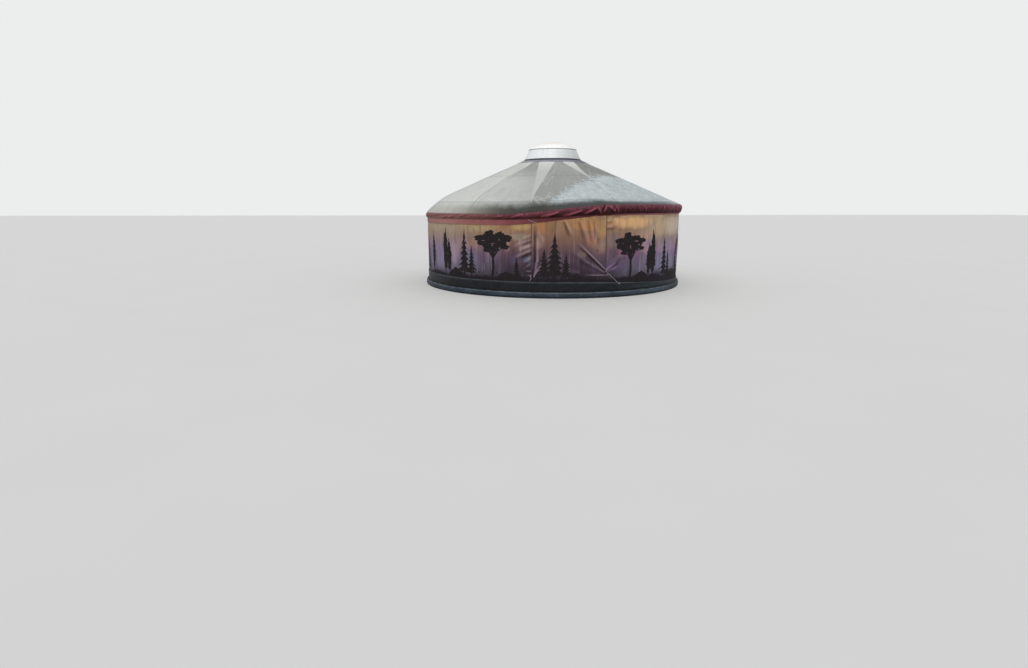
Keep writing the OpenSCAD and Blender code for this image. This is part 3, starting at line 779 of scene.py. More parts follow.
def flap_skin(a, z):
    """Radius of the flap's face."""
    free = ease((fall_foot(a) - 0.012 - z) / 0.10) * ease((z - 0.335) / 0.07)
    loose = 0.0022 * ripple(a, z, 30, 7, 31) + 0.0012 * ripple(a, z, 110, 6, 32) + folds(a, z, flap_lines)[0]
    return flap_face + free * np.clip(loose + 0.002, -0.0008, 0.03)


def flap_marks(a, z, radius):
    _, light, shade = folds(a, z, flap_lines)
    return {"crest": relief(radius, 3, 3, 0.0050), "light": light, "shade": shade}


flap_canvas = dusk_canvas("painted_flap", [
    (-10.9, 1.40, 1.7, 0.16, "#a3703f", 0.7), (-6.0, 1.42, 3.6, 0.16, "#7d6149", 0.5),
    (-11.5, 1.12, 2.6, 0.12, "#9c7c6e", 0.6), (-12.6, 0.62, 2.0, 0.14, "#625872", 0.6),
    (-4.0, 0.78, 7.0, 0.12, "#54404e", 0.4), (5.0, 0.90, 2.4, 0.07, "#8b7568", 0.5),
    (6.5, 1.44, 6.0, 0.12, "#b17d48", 0.6), (8.6, 1.18, 4.0, 0.16, "#a26f50", 0.5),
    # The dark wash at 7.6° is painted shade on the lower side of the long fold.
    (11.8, 0.62, 3.6, 0.10, "#443551", 0.5), (7.6, 0.78, 3.4, 0.12, "#30232a", 0.6),
    (0.0, 0.86, 9.0, 0.10, "#4c3a42", 0.5)])
flap_a = np.linspace(-flap_side, flap_side, 190)[None, :]
flap_z = np.linspace(flap_foot, flap_head, 158)[:, None]
flap_r = flap_skin(flap_a, flap_z)
flap = make_cloth("door_flap_cloth", polar(flap_r, flap_a, flap_z), 0.0022, flap_canvas,
                  marks=flap_marks(flap_a, flap_z, flap_r))
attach(flap, "root")
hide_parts("door_flap")

edge_canvas = dusk_canvas("flap_edge", [
    (12.7, 1.40, 2.6, 0.22, "#b08c62", 0.7), (12.7, 1.08, 2.2, 0.18, "#94786a", 0.7),
    (11.0, 1.00, 0.5, 0.70, "#4a3a38", 0.7)])
edge_a = np.linspace(10.9, 14.42, 34)[None, :]
edge_foot = 0.303
edge_z = edge_foot + (fall_foot(edge_a) - 0.004 - edge_foot) * np.linspace(0, 1, 140)[:, None]
edge_r = flap_skin(edge_a, edge_z) + 0.0020 + 0.0006 * ripple(edge_a, edge_z, 300, 3, 33)
flap_edge = make_cloth("flap_edge_strip", polar(edge_r, edge_a, edge_z), 0.0016, edge_canvas,
                       marks=flap_marks(edge_a, edge_z, edge_r))
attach(flap_edge, "root")
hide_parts("flap_strip")


# Painted silhouettes. A generic dusk landscape of firs, poplars, round trees, bushes and reeds is
# painted in near-black on the canvas, each figure a thin skin of paint that follows the folds.
def painted(name, figures, skin, finish, cell=0.024):
    """figures: lists of outlines in metres along the wall (from the doorway) and up."""
    points, faces = [], []
    for outlines in figures:
        corners = np.concatenate(outlines)
        low, high = corners.min(axis=0), corners.max(axis=0)
        xs, ys = np.meshgrid(np.arange(low[0], high[0], cell), np.arange(low[1], high[1], cell))
        plane = [Vector(p) for p in corners] + [Vector(p) for p in zip(xs.ravel(), ys.ravel())]
        loops, count = [], 0
        for outline in outlines:
            loops.append(list(range(count, count + len(outline))))
            count += len(outline)
        flat, _, tris, _, _, owners = delaunay_2d_cdt(plane, [], loops, 1, 1e-5, True)
        tris = np.array([t for t, o in zip(tris, owners) if o and len(t) == 3])
        flat = np.array([tuple(p) for p in flat])
        used, tris = np.unique(tris, return_inverse=True)
        flat, tris = flat[used], tris.reshape(-1, 3)
        a, z = flat[:, 0] / metres, flat[:, 1]
        r = skin(a, z)
        edges = {(t[i], t[(i + 1) % 3]) for t in tris.tolist() for i in range(3)}
        rim = [e for e in edges if (e[1], e[0]) not in edges]
        base, n = sum(len(p) for p in points), len(flat)
        points += [polar(r + 0.0011, a, z), polar(r - 0.0004, a, z)]
        faces += [tris + base, tris[:, ::-1] + base + n]
        if rim:
            i, j = np.array(rim).T
            faces.append(np.stack([j, i, i + n], -1) + base)
            faces.append(np.stack([j, i + n, j + n], -1) + base)
    return make_piece(name, np.concatenate(points), np.concatenate(faces), finish, sharp=60)


def blob(x, z, wide, tall, rng, rough=0.16, count=15):
    turn = np.linspace(0, 2 * np.pi, count, endpoint=False)
    size = 1 + rough * rng.uniform(-1, 1, count)
    return np.stack([x + wide * size * np.cos(turn), z + tall * size * np.sin(turn)], -1)


def limb(line, w0, w1):
    """A tapering stroke along a line of points."""
    line = np.array(line, dtype=float)
    across = np.gradient(line, axis=0)[:, ::-1] * (-1, 1)
    across /= np.linalg.norm(across, axis=1, keepdims=True)
    half = np.linspace(w0, w1, len(line))[:, None] / 2
    return np.concatenate([line - across * half, (line + across * half)[::-1]])


def fir(x, foot, tall, wide, rng):
    outlines = [limb([(x, foot - 0.02), (x + 0.004, foot + tall * 0.6)], 0.05 * wide / 0.4, 0.012)]
    tiers = 7
    for k in range(tiers):
        t = k / tiers
        low, half = foot + tall * (0.12 + 0.80 * t), wide / 2 * (1 - t) ** 0.85 * rng.uniform(0.88, 1.1)
        top = low + tall * 0.26
        droop = tall * 0.035
        jag = rng.uniform(-0.01, 0.01, 6)
        outlines.append(np.array([(x - half, low - droop), (x - half * 0.55, low + jag[0]),
                                  (x - half * 0.28, low - droop * 0.8 + jag[1]),
                                  (x, low + jag[2]), (x + half * 0.3, low - droop + jag[3]),
                                  (x + half * 0.6, low + jag[4]),
                                  (x + half * rng.uniform(0.9, 1.05), low - droop),
                                  (x + half * 0.34, low + tall * 0.08),
                                  (x + 0.006, min(top, foot + tall)), (x - half * 0.34, low + tall * 0.075)]))
    return outlines


def round_tree(x, foot, tall, wide, rng):
    fork = foot + tall * 0.42
    trunk = [(x - 0.02, foot - 0.02), (x + 0.008, foot + tall * 0.2), (x, fork)]
    outlines = [limb(trunk, 0.072 * tall, 0.045 * tall)]
    for k in range(15):
        turn, out = 2.4 * k + 0.6, ((k + 0.5) / 15) ** 0.5
        leaf_x = x + wide * 0.385 * out * math.cos(turn)
        leaf_z = foot + tall * (0.735 + 0.205 * out * math.sin(turn))
        bend = (x + (leaf_x - x) * 0.42, fork + (leaf_z - fork) * 0.55)
        outlines.append(limb([(x, fork - 0.03), bend, (leaf_x, leaf_z)], 0.024 * tall, 0.008 * tall))
        outlines.append(blob(leaf_x, leaf_z, wide * rng.uniform(0.095, 0.145),
                             tall * rng.uniform(0.048, 0.074), rng, 0.24, 25))
    return outlines


def poplar(x, foot, tall, wide, rng):
    outlines = [limb([(x, foot - 0.02), (x + 0.003, foot + tall * 0.5)], 0.035 * tall, 0.012)]
    for k in range(8):
        t = k / 7
        half = wide / 2 * math.sin(math.pi * (0.18 + 0.80 * t)) ** 0.7
        outlines.append(blob(x + rng.uniform(-0.012, 0.012), foot + tall * (0.22 + 0.72 * t), half,
                             tall * 0.095, rng, 0.18, 15))
    return outlines


def bush(x, foot, tall, wide, rng):
    return [blob(x + wide * 0.5 * s, foot + tall * (0.32 - 0.22 * abs(s)), wide * 0.24,
                 tall * (0.5 - 0.2 * abs(s)), rng, 0.2, 15)
            for s in (-0.62, -0.3, 0.02, 0.34, 0.66)]


def reeds(x, foot, tall, wide, rng):
    outlines = []
    for s in np.linspace(-0.5, 0.5, 7):
        lean, high = rng.uniform(-0.05, 0.07), tall * rng.uniform(0.55, 1.0)
        root = x + s * wide
        outlines.append(limb([(root, foot - 0.02), (root + lean * 0.4, foot + high * 0.6),
                              (root + lean, foot + high)], 0.010, 0.003))
    return outlines


kinds = {"fir": fir, "round": round_tree, "poplar": poplar, "bush": bush, "reeds": reeds}
ink = Finish("painted_silhouette", Roughness=0.8, Specular_IOR_Level=0.12)
dab = ink.noise(34, 4.0, rough=0.7)
shade = ink.blend(ink.fade(dab, 0.35, 0.75), "#1c181a", "#2c2628")
shade = ink.blend(ink.fade(ink.noise(13, 4.0, stretch=(1, 1, 0.1)), 0.6, 0.8) * 0.35, shade, "#4a3f45")
ink.wear("Base Color", shade)
ink.bump(dab, 0.0012, 0.4)
ink.bump(ink.noise(420, 1.0), 0.0003, 0.4)
groves = {
    "left": (wall_skin, 41, [
        ("poplar", -57, 0.36, 0.98, 0.20), ("poplar", -54, 0.37, 0.76, 0.17),
        ("bush", -49.5, 0.37, 0.20, 0.40), ("fir", -44.5, 0.37, 1.00, 0.48),
        ("fir", -40.6, 0.38, 0.66, 0.34), ("reeds", -36.8, 0.37, 0.22, 0.16),
        ("round", -30.2, 0.38, 1.00, 0.94), ("bush", -24.6, 0.38, 0.17, 0.34),
        ("fir", -20.4, 0.38, 0.44, 0.26)]),
    "flap": (flap_skin, 42, [
        ("fir", -9.6, 0.37, 0.64, 0.38), ("fir", -5.6, 0.37, 0.95, 0.52), ("fir", -1.2, 0.37, 0.54, 0.34),
        ("bush", 2.6, 0.36, 0.16, 0.30), ("reeds", 6.2, 0.36, 0.20, 0.14)]),
    "right": (wall_skin, 43, [
        ("round", 26.0, 0.34, 0.98, 0.86), ("bush", 31.8, 0.34, 0.20, 0.34),
        ("poplar", 36.2, 0.33, 0.74, 0.16), ("poplar", 38.8, 0.33, 1.00, 0.20),
        ("reeds", 42.6, 0.31, 0.24, 0.16), ("fir", 47.4, 0.30, 0.92, 0.44),
        ("fir", 51.2, 0.29, 0.62, 0.32), ("bush", 56.6, 0.28, 0.24, 0.4), ("fir", 62.5, 0.28, 0.84, 0.42),
        ("round", 71.0, 0.28, 0.95, 0.80), ("reeds", 77.0, 0.28, 0.3, 0.2)])}
behind = [
    ("fir", 82, 0.28, 0.9, 0.44), ("fir", 87, 0.28, 0.66, 0.34), ("poplar", 96, 0.28, 1.05, 0.2),
    ("bush", 103, 0.28, 0.24, 0.42), ("round", 114, 0.29, 1.0, 0.84), ("reeds", 123, 0.3, 0.3, 0.2),
    ("fir", 131, 0.3, 1.0, 0.46), ("fir", 135.5, 0.3, 0.74, 0.36), ("fir", 140, 0.3, 0.55, 0.3),
    ("bush", 147, 0.31, 0.24, 0.40), ("poplar", 153, 0.32, 0.85, 0.17), ("poplar", 156.5, 0.32, 1.0, 0.2),
    ("round", 168, 0.33, 0.96, 0.84), ("bush", 191, 0.34, 0.2, 0.36), ("fir", 198, 0.34, 0.95, 0.46),
    ("reeds", 205, 0.35, 0.26, 0.2), ("round", 214, 0.35, 1.0, 0.86), ("bush", 224, 0.36, 0.2, 0.42),
    ("poplar", 233, 0.36, 0.8, 0.17), ("fir", 242, 0.36, 0.7, 0.36), ("fir", 247, 0.36, 1.0, 0.48),
    ("bush", 257, 0.36, 0.22, 0.4), ("round", 268, 0.36, 0.88, 0.76), ("fir", 282, 0.36, 0.8, 0.4),
    ("poplar", 291, 0.36, 0.9, 0.18)]
groves["back"] = (wall_skin, 44, behind)
for side, (skin, seed, marks) in groves.items():
    rng = np.random.default_rng(seed)
    figures = [kinds[kind](a * metres, foot, tall, wide, rng) for kind, a, foot, tall, wide in marks]
    silhouettes = painted(f"painted_trees_{side}", figures, skin, ink, 0.032 if side == "back" else 0.024)
    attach(silhouettes, "root")


# Foot band. A strip of black tarpaulin covers the foot of the wall down to the kerb. Its upper edge
# is folded over, and has gone slack on the right of the doorway.
band_a = spaced(0.3, 0.5)[None, :]
band_rows = np.array([0, 0.2, 0.4, 0.58, 0.73, 0.84, 0.91, 0.955, 0.985, 1.0])[:, None]
band_foot = 0.1290
band_face = 3.0094
band_z = band_foot + (band_top(band_a) - band_foot) * band_rows
band_fold = np.interp(band_rows, [0, 0.88, 0.94, 1.0], [0, 0, 0.0030, 0.0022])
slackened = 1 + 1.2 * np.exp(-((band_a - 22) / 12) ** 2)
band_r = band_face + band_fold + 0.0012 * (1 + ripple(band_a, band_z, 60, 14, 51))
band_r = band_r + 0.0014 * np.abs(ripple(band_a, band_z, 170, 40, 52)) * slackened
black = Finish("foot_tarpaulin", Roughness=0.45, Specular_IOR_Level=0.22)
grime = black.noise(2.6, 5.0, stretch=(1, 1, 3), warp=0.7)
upper = black.mark("edge")
shade = black.blend(black.fade(grime, 0.4, 0.72), "#0b0c10", "#171920")
low = black.fade(black.z + 0.06 * (black.noise(7, 4.0) - 0.5), 0.25, 0.19)
turned = black.angle() + 10 * (grime - 0.5)
shade = black.blend(low * 0.62 * black.fade(turned, 12, 34) * black.ahead(), shade, "#27323c")
# The folded top edge is painted paler, a painted highlight broken up by the grime pattern.
shade = black.blend(upper * 0.8 * black.fade(grime, 0.2, 0.6), shade, "#454b50")
shade = black.blend(black.fade(black.noise(22, 4.0, rough=0.7), 0.58, 0.74) * 0.4, shade, "#454a50")
# Painted shade dims the front of the band from about 52° to 64° right of the doorway.
shade = black.blend(black.fade(turned, 52, 64) * black.ahead() * 0.6, shade, "#0c0d11")
# Painted shadow along the foot of the band, in the gap above the kerb.
band_foot_shadow = black.fade(black.z + 0.012 * (black.noise(8) - 0.5), 0.156, 0.146)
shade = black.blend(band_foot_shadow * 0.95, shade, "#050608")
black.wear("Base Color", shade)
black.wear("Roughness", 0.36 + 0.4 * grime)
black.bump(black.noise(250, 2.0), 0.0004, 0.5)
black.bump(black.noise(15, 4.0, stretch=(1, 1, 0.6), warp=1.0), 0.006, 0.5)
foot_band = make_cloth("foot_band_strip", polar(band_r, band_a, band_z), 0.0014, black, closed=True,
                       marks={"edge": np.broadcast_to(ease((band_rows - 0.80) / 0.12), band_z.shape)})
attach(foot_band, "root")
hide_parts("foot_band")


# Ties. Cotton cord holds the flap. A taut tie runs from its lower right corner to a small loop on
# the foot band. The line across its right edge under the hem hangs slack between its two ends, and
# two short tails hang loose at its left edge.
def tie(name, marks, lift, thick, finish, skin):
    """A thin cord through (angle, height) marks, lifted off the skin: the piece and its route."""
    marks = np.array(marks, dtype=float)
    steps = np.linspace(0, len(marks) - 1, 14 * (len(marks) - 1) + 1)
    a = np.interp(steps, range(len(marks)), marks[:, 0])
    z = np.interp(steps, range(len(marks)), marks[:, 1])
    for _ in range(6):
        a[1:-1] = (a[:-2] + 2 * a[1:-1] + a[2:]) / 4
        z[1:-1] = (z[:-2] + 2 * z[1:-1] + z[2:]) / 4
    line = polar(skin(a, z) + lift, a, z)
    ahead = np.gradient(line, axis=0)
    ahead /= np.linalg.norm(ahead, axis=1, keepdims=True)
    outward = polar(1.0, a, 0 * z)
    side = np.cross(ahead, outward)
    side /= np.linalg.norm(side, axis=1, keepdims=True)
    up = np.cross(side, ahead)
    turn = np.linspace(0, 2 * np.pi, 8, endpoint=False)
    ring = line[:, None] + thick / 2 * (np.cos(turn)[None, :, None] * up[:, None]
                                        + np.sin(turn)[None, :, None] * side[:, None])
    rows, count = len(line), 8
    faces = grid_faces(rows, count, False, True)
    points = np.concatenate([ring.reshape(-1, 3), line[:1] - ahead[:1] * thick * 0.3,
                             line[-1:] + ahead[-1:] * thick * 0.3])
    last = (rows - 1) * count
    caps = []
    for j in range(count):
        k = (j + 1) % count
        caps += [(rows * count, k, j), (rows * count + 1, last + j, last + k)]
    mesh = bpy.data.meshes.new(name)
    rounds = [tuple(f) for f in faces.tolist()]
    mesh.from_pydata([tuple(p) for p in points], [], rounds + caps)
    mesh.shade_smooth()
    mesh.materials.append(finish.material)
    piece = bpy.data.objects.new(name, mesh)
    scene.collection.objects.link(piece)
    return piece, line


def over_flap(a, z):
    """Radius of what the ties lie on: the wall, the flap with its doubled edge, or the foot band."""
    band_outside, edge_outside = 3.0128, 3.008
    inside = np.abs(np.asarray(a)) < 14.45
    cloth = np.where(inside, flap_skin(a, z), wall_skin(a, z))
    doubled = np.where(inside & (np.asarray(a) > 10.7), edge_outside, 0)
    band = np.where(z < band_top(a), band_outside, 0)
    return np.maximum(np.maximum(cloth, doubled), band)


cotton = Finish("tie_cotton", Roughness=0.8)
strand = (cotton.z * 900 + cotton.x * 500).sin()
cotton.wear("Base Color", cotton.blend(cotton.noise(60), "#b3a6a6", "#7f7174"))
cotton.bump(strand, 0.0006, 0.6)
cords = {
    "tie_corner": ([(14.6, 0.545), (16.6, 0.448), (18.6, 0.362), (20.7, 0.270)], 0.006, 0.009),
    "tie_corner_loop": ([(20.4, 0.283), (20.9, 0.284), (21.1, 0.266), (20.8, 0.256), (20.4, 0.268),
                         (20.6, 0.279)], 0.005, 0.007),
    "tie_head": ([(10.0, 1.640), (12.2, 1.603), (15.1, 1.566), (17.0, 1.586), (18.4, 1.640)], 0.006, 0.009),
    "tie_hem_tail": ([(-15.9, 1.585), (-15.2, 1.545), (-14.3, 1.535), (-13.2, 1.507), (-12.6, 1.515)],
                     0.011, 0.009),
    "tie_foot_tail": ([(-14.3, 0.470), (-14.9, 0.430), (-14.4, 0.395), (-15.1, 0.352)], 0.006, 0.009)}
for name, (marks, lift, thick) in cords.items():
    string, route = tie(name, marks, lift, thick, cotton, over_flap)
    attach(string, "root")

# Roof frame. Steam-bent poles, tapered at the tip, rise from the lattice heads to a laminated crown
# ring with drilled sockets, and are lashed to the lattice with hide thongs. Bowed bars cross the ring.
pole_wood = Finish("pole_wood", Roughness=0.42)
along_pole = pole_wood.add("ShaderNodeCombineXYZ", {},
                           {0: pole_wood.angle() * 1.4, 1: pole_wood.radius() * 1.5, 2: pole_wood.z * 3})
figure = pole_wood.noise(6, 4.0, at=along_pole, warp=0.4)
fibre = pole_wood.noise(50, 3.0, at=along_pole)
shade = pole_wood.blend(pole_wood.fade(figure, 0.3, 0.7), "#6f3418", "#a35a2e")
shade = pole_wood.blend(fibre * 0.35, shade, "#5a2a14", "MULTIPLY")
pole_wood.wear("Base Color", shade)
pole_wood.wear("Roughness", 0.34 + 0.25 * figure)
pole_wood.bump(fibre, 0.0006, 0.5)
dress(pole_wood, "roof_poles_right", "roof_poles_back", "roof_poles_left")

ring_wood = Finish("crown_wood", Roughness=0.45)
layer = (ring_wood.z * 390).sin()
figure = ring_wood.noise(12, 4.0, stretch=(1, 1, 5), warp=0.5)
shade = ring_wood.blend(ring_wood.fade(figure, 0.3, 0.7), "#6b3f22", "#96602f")
shade = ring_wood.blend(ring_wood.fade(layer, 0.93, 1.0) * 0.6, shade, "#3c2213")
ring_wood.wear("Base Color", shade)
ring_wood.wear("Roughness", 0.38 + 0.22 * figure)
ring_wood.bump(ring_wood.fade(layer, 0.9, 1.0), 0.001, -0.5)
ring_wood.bump(ring_wood.noise(90, 3.0, stretch=(1, 1, 4)), 0.0006, 0.4)
dress(ring_wood, "crown_ring")
dress(timber("bar_timber", "#965c33", "#64381c", (0.35, 0.35, 1), rough=0.45), "crown_bars")

lash_r, lash_z = 2.930, 1.655
lash_spots = np.array([polar(lash_r, k * pitch, lash_z) for k in range(51)])


def pole_lashings(nodes, start):
    turn = facing_turn(nodes)
    loop = nodes.add("GeometryNodeCurvePrimitiveCircle", {},
                     {"Resolution": 14, "Radius": start.out("Loop radius")})
    loop = nodes.add("GeometryNodeTransform", {},
                     {"Geometry": loop, "Rotation": (1.5708, 0, 0), "Scale": (1, 1, 0.8)})
    edge = nodes.add("GeometryNodeCurvePrimitiveCircle", {},
                     {"Resolution": 6, "Radius": start.out("Thong radius")})
    thong = nodes.add("GeometryNodeCurveToMesh", {}, {"Curve": loop, "Profile Curve": edge})
    turns = nodes.add("GeometryNodeJoinGeometry", {}, {0: thong})
    for step in (-0.009, 0.009):
        again = nodes.add("GeometryNodeTransform", {}, {"Geometry": thong, "Translation": (0, step, 0)})
        nodes.tree.links.new(again.socket, turns.socket.node.inputs[0])
    return nodes.add("GeometryNodeInstanceOnPoints", {},
                     {"Points": start, "Instance": turns, "Rotation": turn})


hide = Finish("hide_thong", Roughness=0.7)
hide.wear("Base Color", hide.blend(hide.noise(90), "#8a6a48", "#5e4430"))
hide.bump(hide.noise(260), 0.0006, 0.6)
lashings = grow("pole_lashings", seeds("lash_spots", lash_spots, -lash_spots * (1, 1, 0)),
                {"Loop radius": 0.026, "Thong radius": 0.0035}, pole_lashings, hide)
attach(lashings, "root")


# Roof cover. Waxed canvas in twelve gores, lapped and sewn, is drawn over the poles from the crown
# to the hem. It is weathered grey, paler where rain runs off, and grimy where water stands by the hem.
pitch_cos = math.cos(math.radians(23.5))
roof_fall = 0.4348  # of height for each metre of radius
knee_r, knee_z = 2.45, 2.1108
knee_bend = 1.2


def roof_height(r, a):
    """Height of the plain roof: a cone that bends down beyond the knee, where the hem is low."""
    run = np.maximum(0, r - knee_r) / pitch_cos
    return knee_z + roof_fall * (knee_r - r) - (1 - rise(a)) * run ** 2 / (2 * knee_bend * pitch_cos)


roof_lines = [
    ((-20.0, 2.63), (-2.0, 2.76), 0.006, 0.030, 0.7), ((-13.0, 2.50), (8.0, 2.70), 0.006, 0.035, 0.7),
    ((-12.0, 2.80), (14.0, 2.86), 0.007, 0.030, 0.7), ((-35.0, 2.72), (-18.0, 2.66), 0.005, 0.035, 0.7),
    ((19.5, 1.78), (43.0, 2.46), 0.009, 0.030, 0.7), ((-14.0, 2.30), (-6.0, 1.90), 0.005, 0.030, 0.7),
    ((-12.5, 2.10), (-2.5, 1.70), 0.005, 0.028, 0.7), ((24, 1.30), (33, 1.62), 0.006, 0.030, 0.7),
    ((28, 1.25), (31, 1.50), 0.005, 0.024, 0.7), ((70, 2.2), (96, 2.5), 0.006, 0.04, 0.7),
    ((150, 1.9), (172, 2.5), 0.006, 0.04, 0.7), ((-120, 2.5), (-96, 2.2), 0.006, 0.04, 0.7),
    ((-60, 2.4), (-50, 1.8), 0.005, 0.03, 0.7)]


def roof_skin(r, a):
    """Height of the cover's face: it sags a little between the poles and is drawn along its seams."""
    inner = ease((r - 0.72) / 0.7) * ease((3.0 - r) / 0.25)
    sag = -0.0050 * (0.5 - 0.5 * np.cos(np.radians(51 * a))) * inner
    loose = 0.0030 * ripple(a, r / 3, 9, 24, 61) * inner + 0.0016 * ripple(a, r, 44, 9, 62) * inner
    around = signed(a)
    loose = loose + folds(around, r, roof_lines)[0]
    return roof_height(r, a) + sag + loose


leaning_seam = 20.0  # its gusset leans to the right, and its stitching is worn faint
seams = (-42.0, -15.4, leaning_seam, 63.0, 86.0, 109.0, 134.0, 163.0, 193.0, 222.0, 254.0, 286.0)
roof = Finish("roof_canvas", Roughness=0.72, Specular_IOR_Level=0.2)
r, a = roof.radius(), roof.angle()
broad = roof.noise(1.1, 4.0, rough=0.55)
patchy = roof.noise(5.5, 5.0, rough=0.65, warp=0.4)
speck = roof.noise(46, 4.0, rough=0.75)
shade = roof.blend(roof.fade(broad, 0.35, 0.65), "#959793", "#a1a29e")
beyond = roof.fade(a, 19.5, 22.0) * roof.fade(a, 98, 78) * roof.fade(r + 0.3 * (patchy - 0.5), 1.68, 1.45)
shade = roof.blend(beyond * 0.85, shade, "#828380")
limit = roof.add("ShaderNodeMapRange", {},
                 {"Value": a, "From Min": -9, "From Max": 8, "To Min": 2.74, "To Max": 1.97})
limit = limit + roof.add("ShaderNodeMapRange", {},
                         {"Value": a, "From Min": 8, "From Max": 31, "To Min": 0, "To Max": -0.38})
flake = roof.noise(17, 5.0, rough=0.8)
washed = r - limit + 0.30 * (patchy - 0.5) + 0.65 * (flake - 0.5)
border = roof.fade((washed - 0.01).size(), 0.10, 0.02) * roof.fade(a, -12, -6) * roof.fade(a, 34, 22)
washed = roof.fade(washed, -0.06, 0.06) * roof.fade(roof.y, 1.4, 0.2) * roof.fade(a, -12, -6)
shade = roof.blend(washed, shade, roof.blend(roof.fade(patchy, 0.3, 0.7), "#aab3b5", "#bac3c4"))
gore = roof.fade(a, -14.5, -16.0) * roof.fade(r, 1.05, 2.1) * (0.55 + 0.45 * roof.fade(a, -18, -36))
shade = roof.blend(gore * roof.ahead() * 0.9, shade, "#c1c4c0")
leftward = roof.fade(a + 5.0 * (patchy - 0.5), -39, -44)
shade = roof.blend(leftward * roof.ahead() * 0.88, shade, "#cbcdc7")
rear = roof.fade(roof.y + 0.9 * (broad - 0.5), 0.3, 1.8)
shade = roof.blend(rear * 0.7, shade, "#a9aea8")
downhill = {0: roof.x.math("ARCTAN2", 0 - roof.y) * 6, 1: r * 0.5, 2: 0.0}
streak = roof.noise(3.0, 4.0, at=roof.add("ShaderNodeCombineXYZ", {}, downhill))
shade = roof.blend(roof.fade(streak, 0.5, 0.78) * 0.30, shade, "#84867f")
shade = roof.blend(roof.fade(streak, 0.48, 0.25) * 0.22, shade, "#cdd2cf")
shade = roof.blend(border * roof.fade(flake, 0.56, 0.44) * 0.55, shade, "#6c706e")
spots = roof.fade(flake + 0.25 * (speck - 0.5) + 0.2 * (patchy - 0.5), 0.56, 0.66)
shade = roof.blend(spots * (0.22 + 0.5 * washed), shade, "#dfe6e7")
shade = roof.blend(roof.fade(flake + 0.3 * (speck - 0.5), 0.44, 0.32) * 0.34, shade, "#7d827f")
shade = roof.blend(roof.fade(roof.noise(24, 4.0, rough=0.8), 0.66, 0.76) * 0.6, shade, "#5f6460")
seam_line = 0
for angle in seams:
    off = (a - float(signed(angle))).size() * r * (math.pi / 180)
    strength = 0.35 if angle == leaning_seam else 1.0
    seam_line = (roof.fade(off, 0.018, 0.006) * strength).math("MAXIMUM", seam_line)
for place in (1.60, 2.78):
    level = (r + 0.02 * (patchy - 0.5) - place).size()
    seam_line = roof.fade(level, 0.014, 0.004).math("MAXIMUM", seam_line)
shade = roof.blend(seam_line * (0.18 + 0.4 * patchy), shade, "#6d6f6c")


def stroke(finish, start, end, wide):
    """1 along a straight line on the roof between two (angle, radius) points, 0 beyond its width."""
    x, y, _ = polar(start[1], start[0], 0)
    end_x, end_y, _ = polar(end[1], end[0], 0)
    dx, dy = end_x - x, end_y - y
    share = 1 / (dx * dx + dy * dy)
    along = (finish.x - x) * (dx * share) + (finish.y - y) * (dy * share)
    along = along.math("MAXIMUM", 0.0).math("MINIMUM", 1.0)
    aside, beyond = finish.x - x - along * dx, finish.y - y - along * dy
    return finish.fade((aside * aside + beyond * beyond).math("SQRT"), wide, 0.2 * wide)


# Painted highlights and painted shade along creases in the cover: pale strokes on their lit sides, dark
# strokes on their shaded sides.
for start, end, wide, strength, code in (
        ((20.4, 1.79), (27.0, 1.83), 0.050, 0.30, "#d9e0df"),
        ((27.0, 1.83), (34.0, 1.91), 0.050, 0.30, "#d9e0df"),
        ((34.0, 1.91), (41.0, 2.02), 0.050, 0.25, "#d3dbdb"),
        ((21.4, 1.84), (28.0, 1.90), 0.026, 0.28, "#7f8788"),
        ((28.0, 1.90), (35.3, 1.995), 0.026, 0.32, "#7f8788"),
        ((35.3, 1.995), (41.0, 2.10), 0.026, 0.34, "#7f8788"),
        ((41.0, 2.10), (45.4, 2.23), 0.026, 0.34, "#7f8788"),
        ((45.4, 2.23), (47.8, 2.38), 0.026, 0.32, "#7f8788"),
        ((47.8, 2.38), (48.6, 2.56), 0.026, 0.30, "#7f8788"),
        ((48.6, 2.56), (47.6, 2.93), 0.028, 0.28, "#6d7476"),
        ((-4.1, 1.30), (-13.1, 1.92), 0.030, 0.26, "#d6d9d3"),
        ((-6.5, 1.66), (-10.7, 2.11), 0.026, 0.26, "#d0d3cd"),
        ((-12.6, 1.66), (-10.4, 1.76), 0.026, 0.22, "#d0d3cd"),
        ((-12.9, 1.89), (-11.0, 2.02), 0.026, 0.20, "#d0d3cd"),
        ((-5.5, 1.34), (-13.4, 1.86), 0.022, 0.24, "#74777a"),
        ((-15.3, 2.64), (-11.8, 2.87), 0.030, 0.30, "#d3d7d2"),
        ((-14.0, 2.62), (-10.0, 2.76), 0.034, 0.26, "#c4c9c6"),
        ((-10.0, 2.76), (-6.0, 2.87), 0.034, 0.22, "#c4c9c6"),
        ((-9.9, 2.70), (-7.9, 2.53), 0.028, 0.26, "#d3d7d2"),
        ((-15.0, 2.75), (-13.0, 2.87), 0.022, 0.32, "#5f625d"),
        ((34.3, 1.20), (30.0, 1.38), 0.030, 0.26, "#c6cac8"),
        ((30.0, 1.38), (24.0, 1.63), 0.036, 0.26, "#c6cac8"),
        ((32.0, 1.24), (25.5, 1.52), 0.026, 0.25, "#6f706e"),
        ((-38.0, 2.62), (-17.0, 2.66), 0.020, 0.24, "#8a8d88"),
        ((-30.0, 2.40), (-19.0, 2.28), 0.026, 0.20, "#d6d9d4"),
        ((-36.0, 1.95), (-24.0, 1.80), 0.024, 0.20, "#888b87")):
    painted_crease_strength = strength * (0.2 + 1.3 * patchy)
    shade = roof.blend(stroke(roof, start, end, wide) * painted_crease_strength, shade, code)
above = roof.mark("above_hem")
crest = roof.mark("crest")
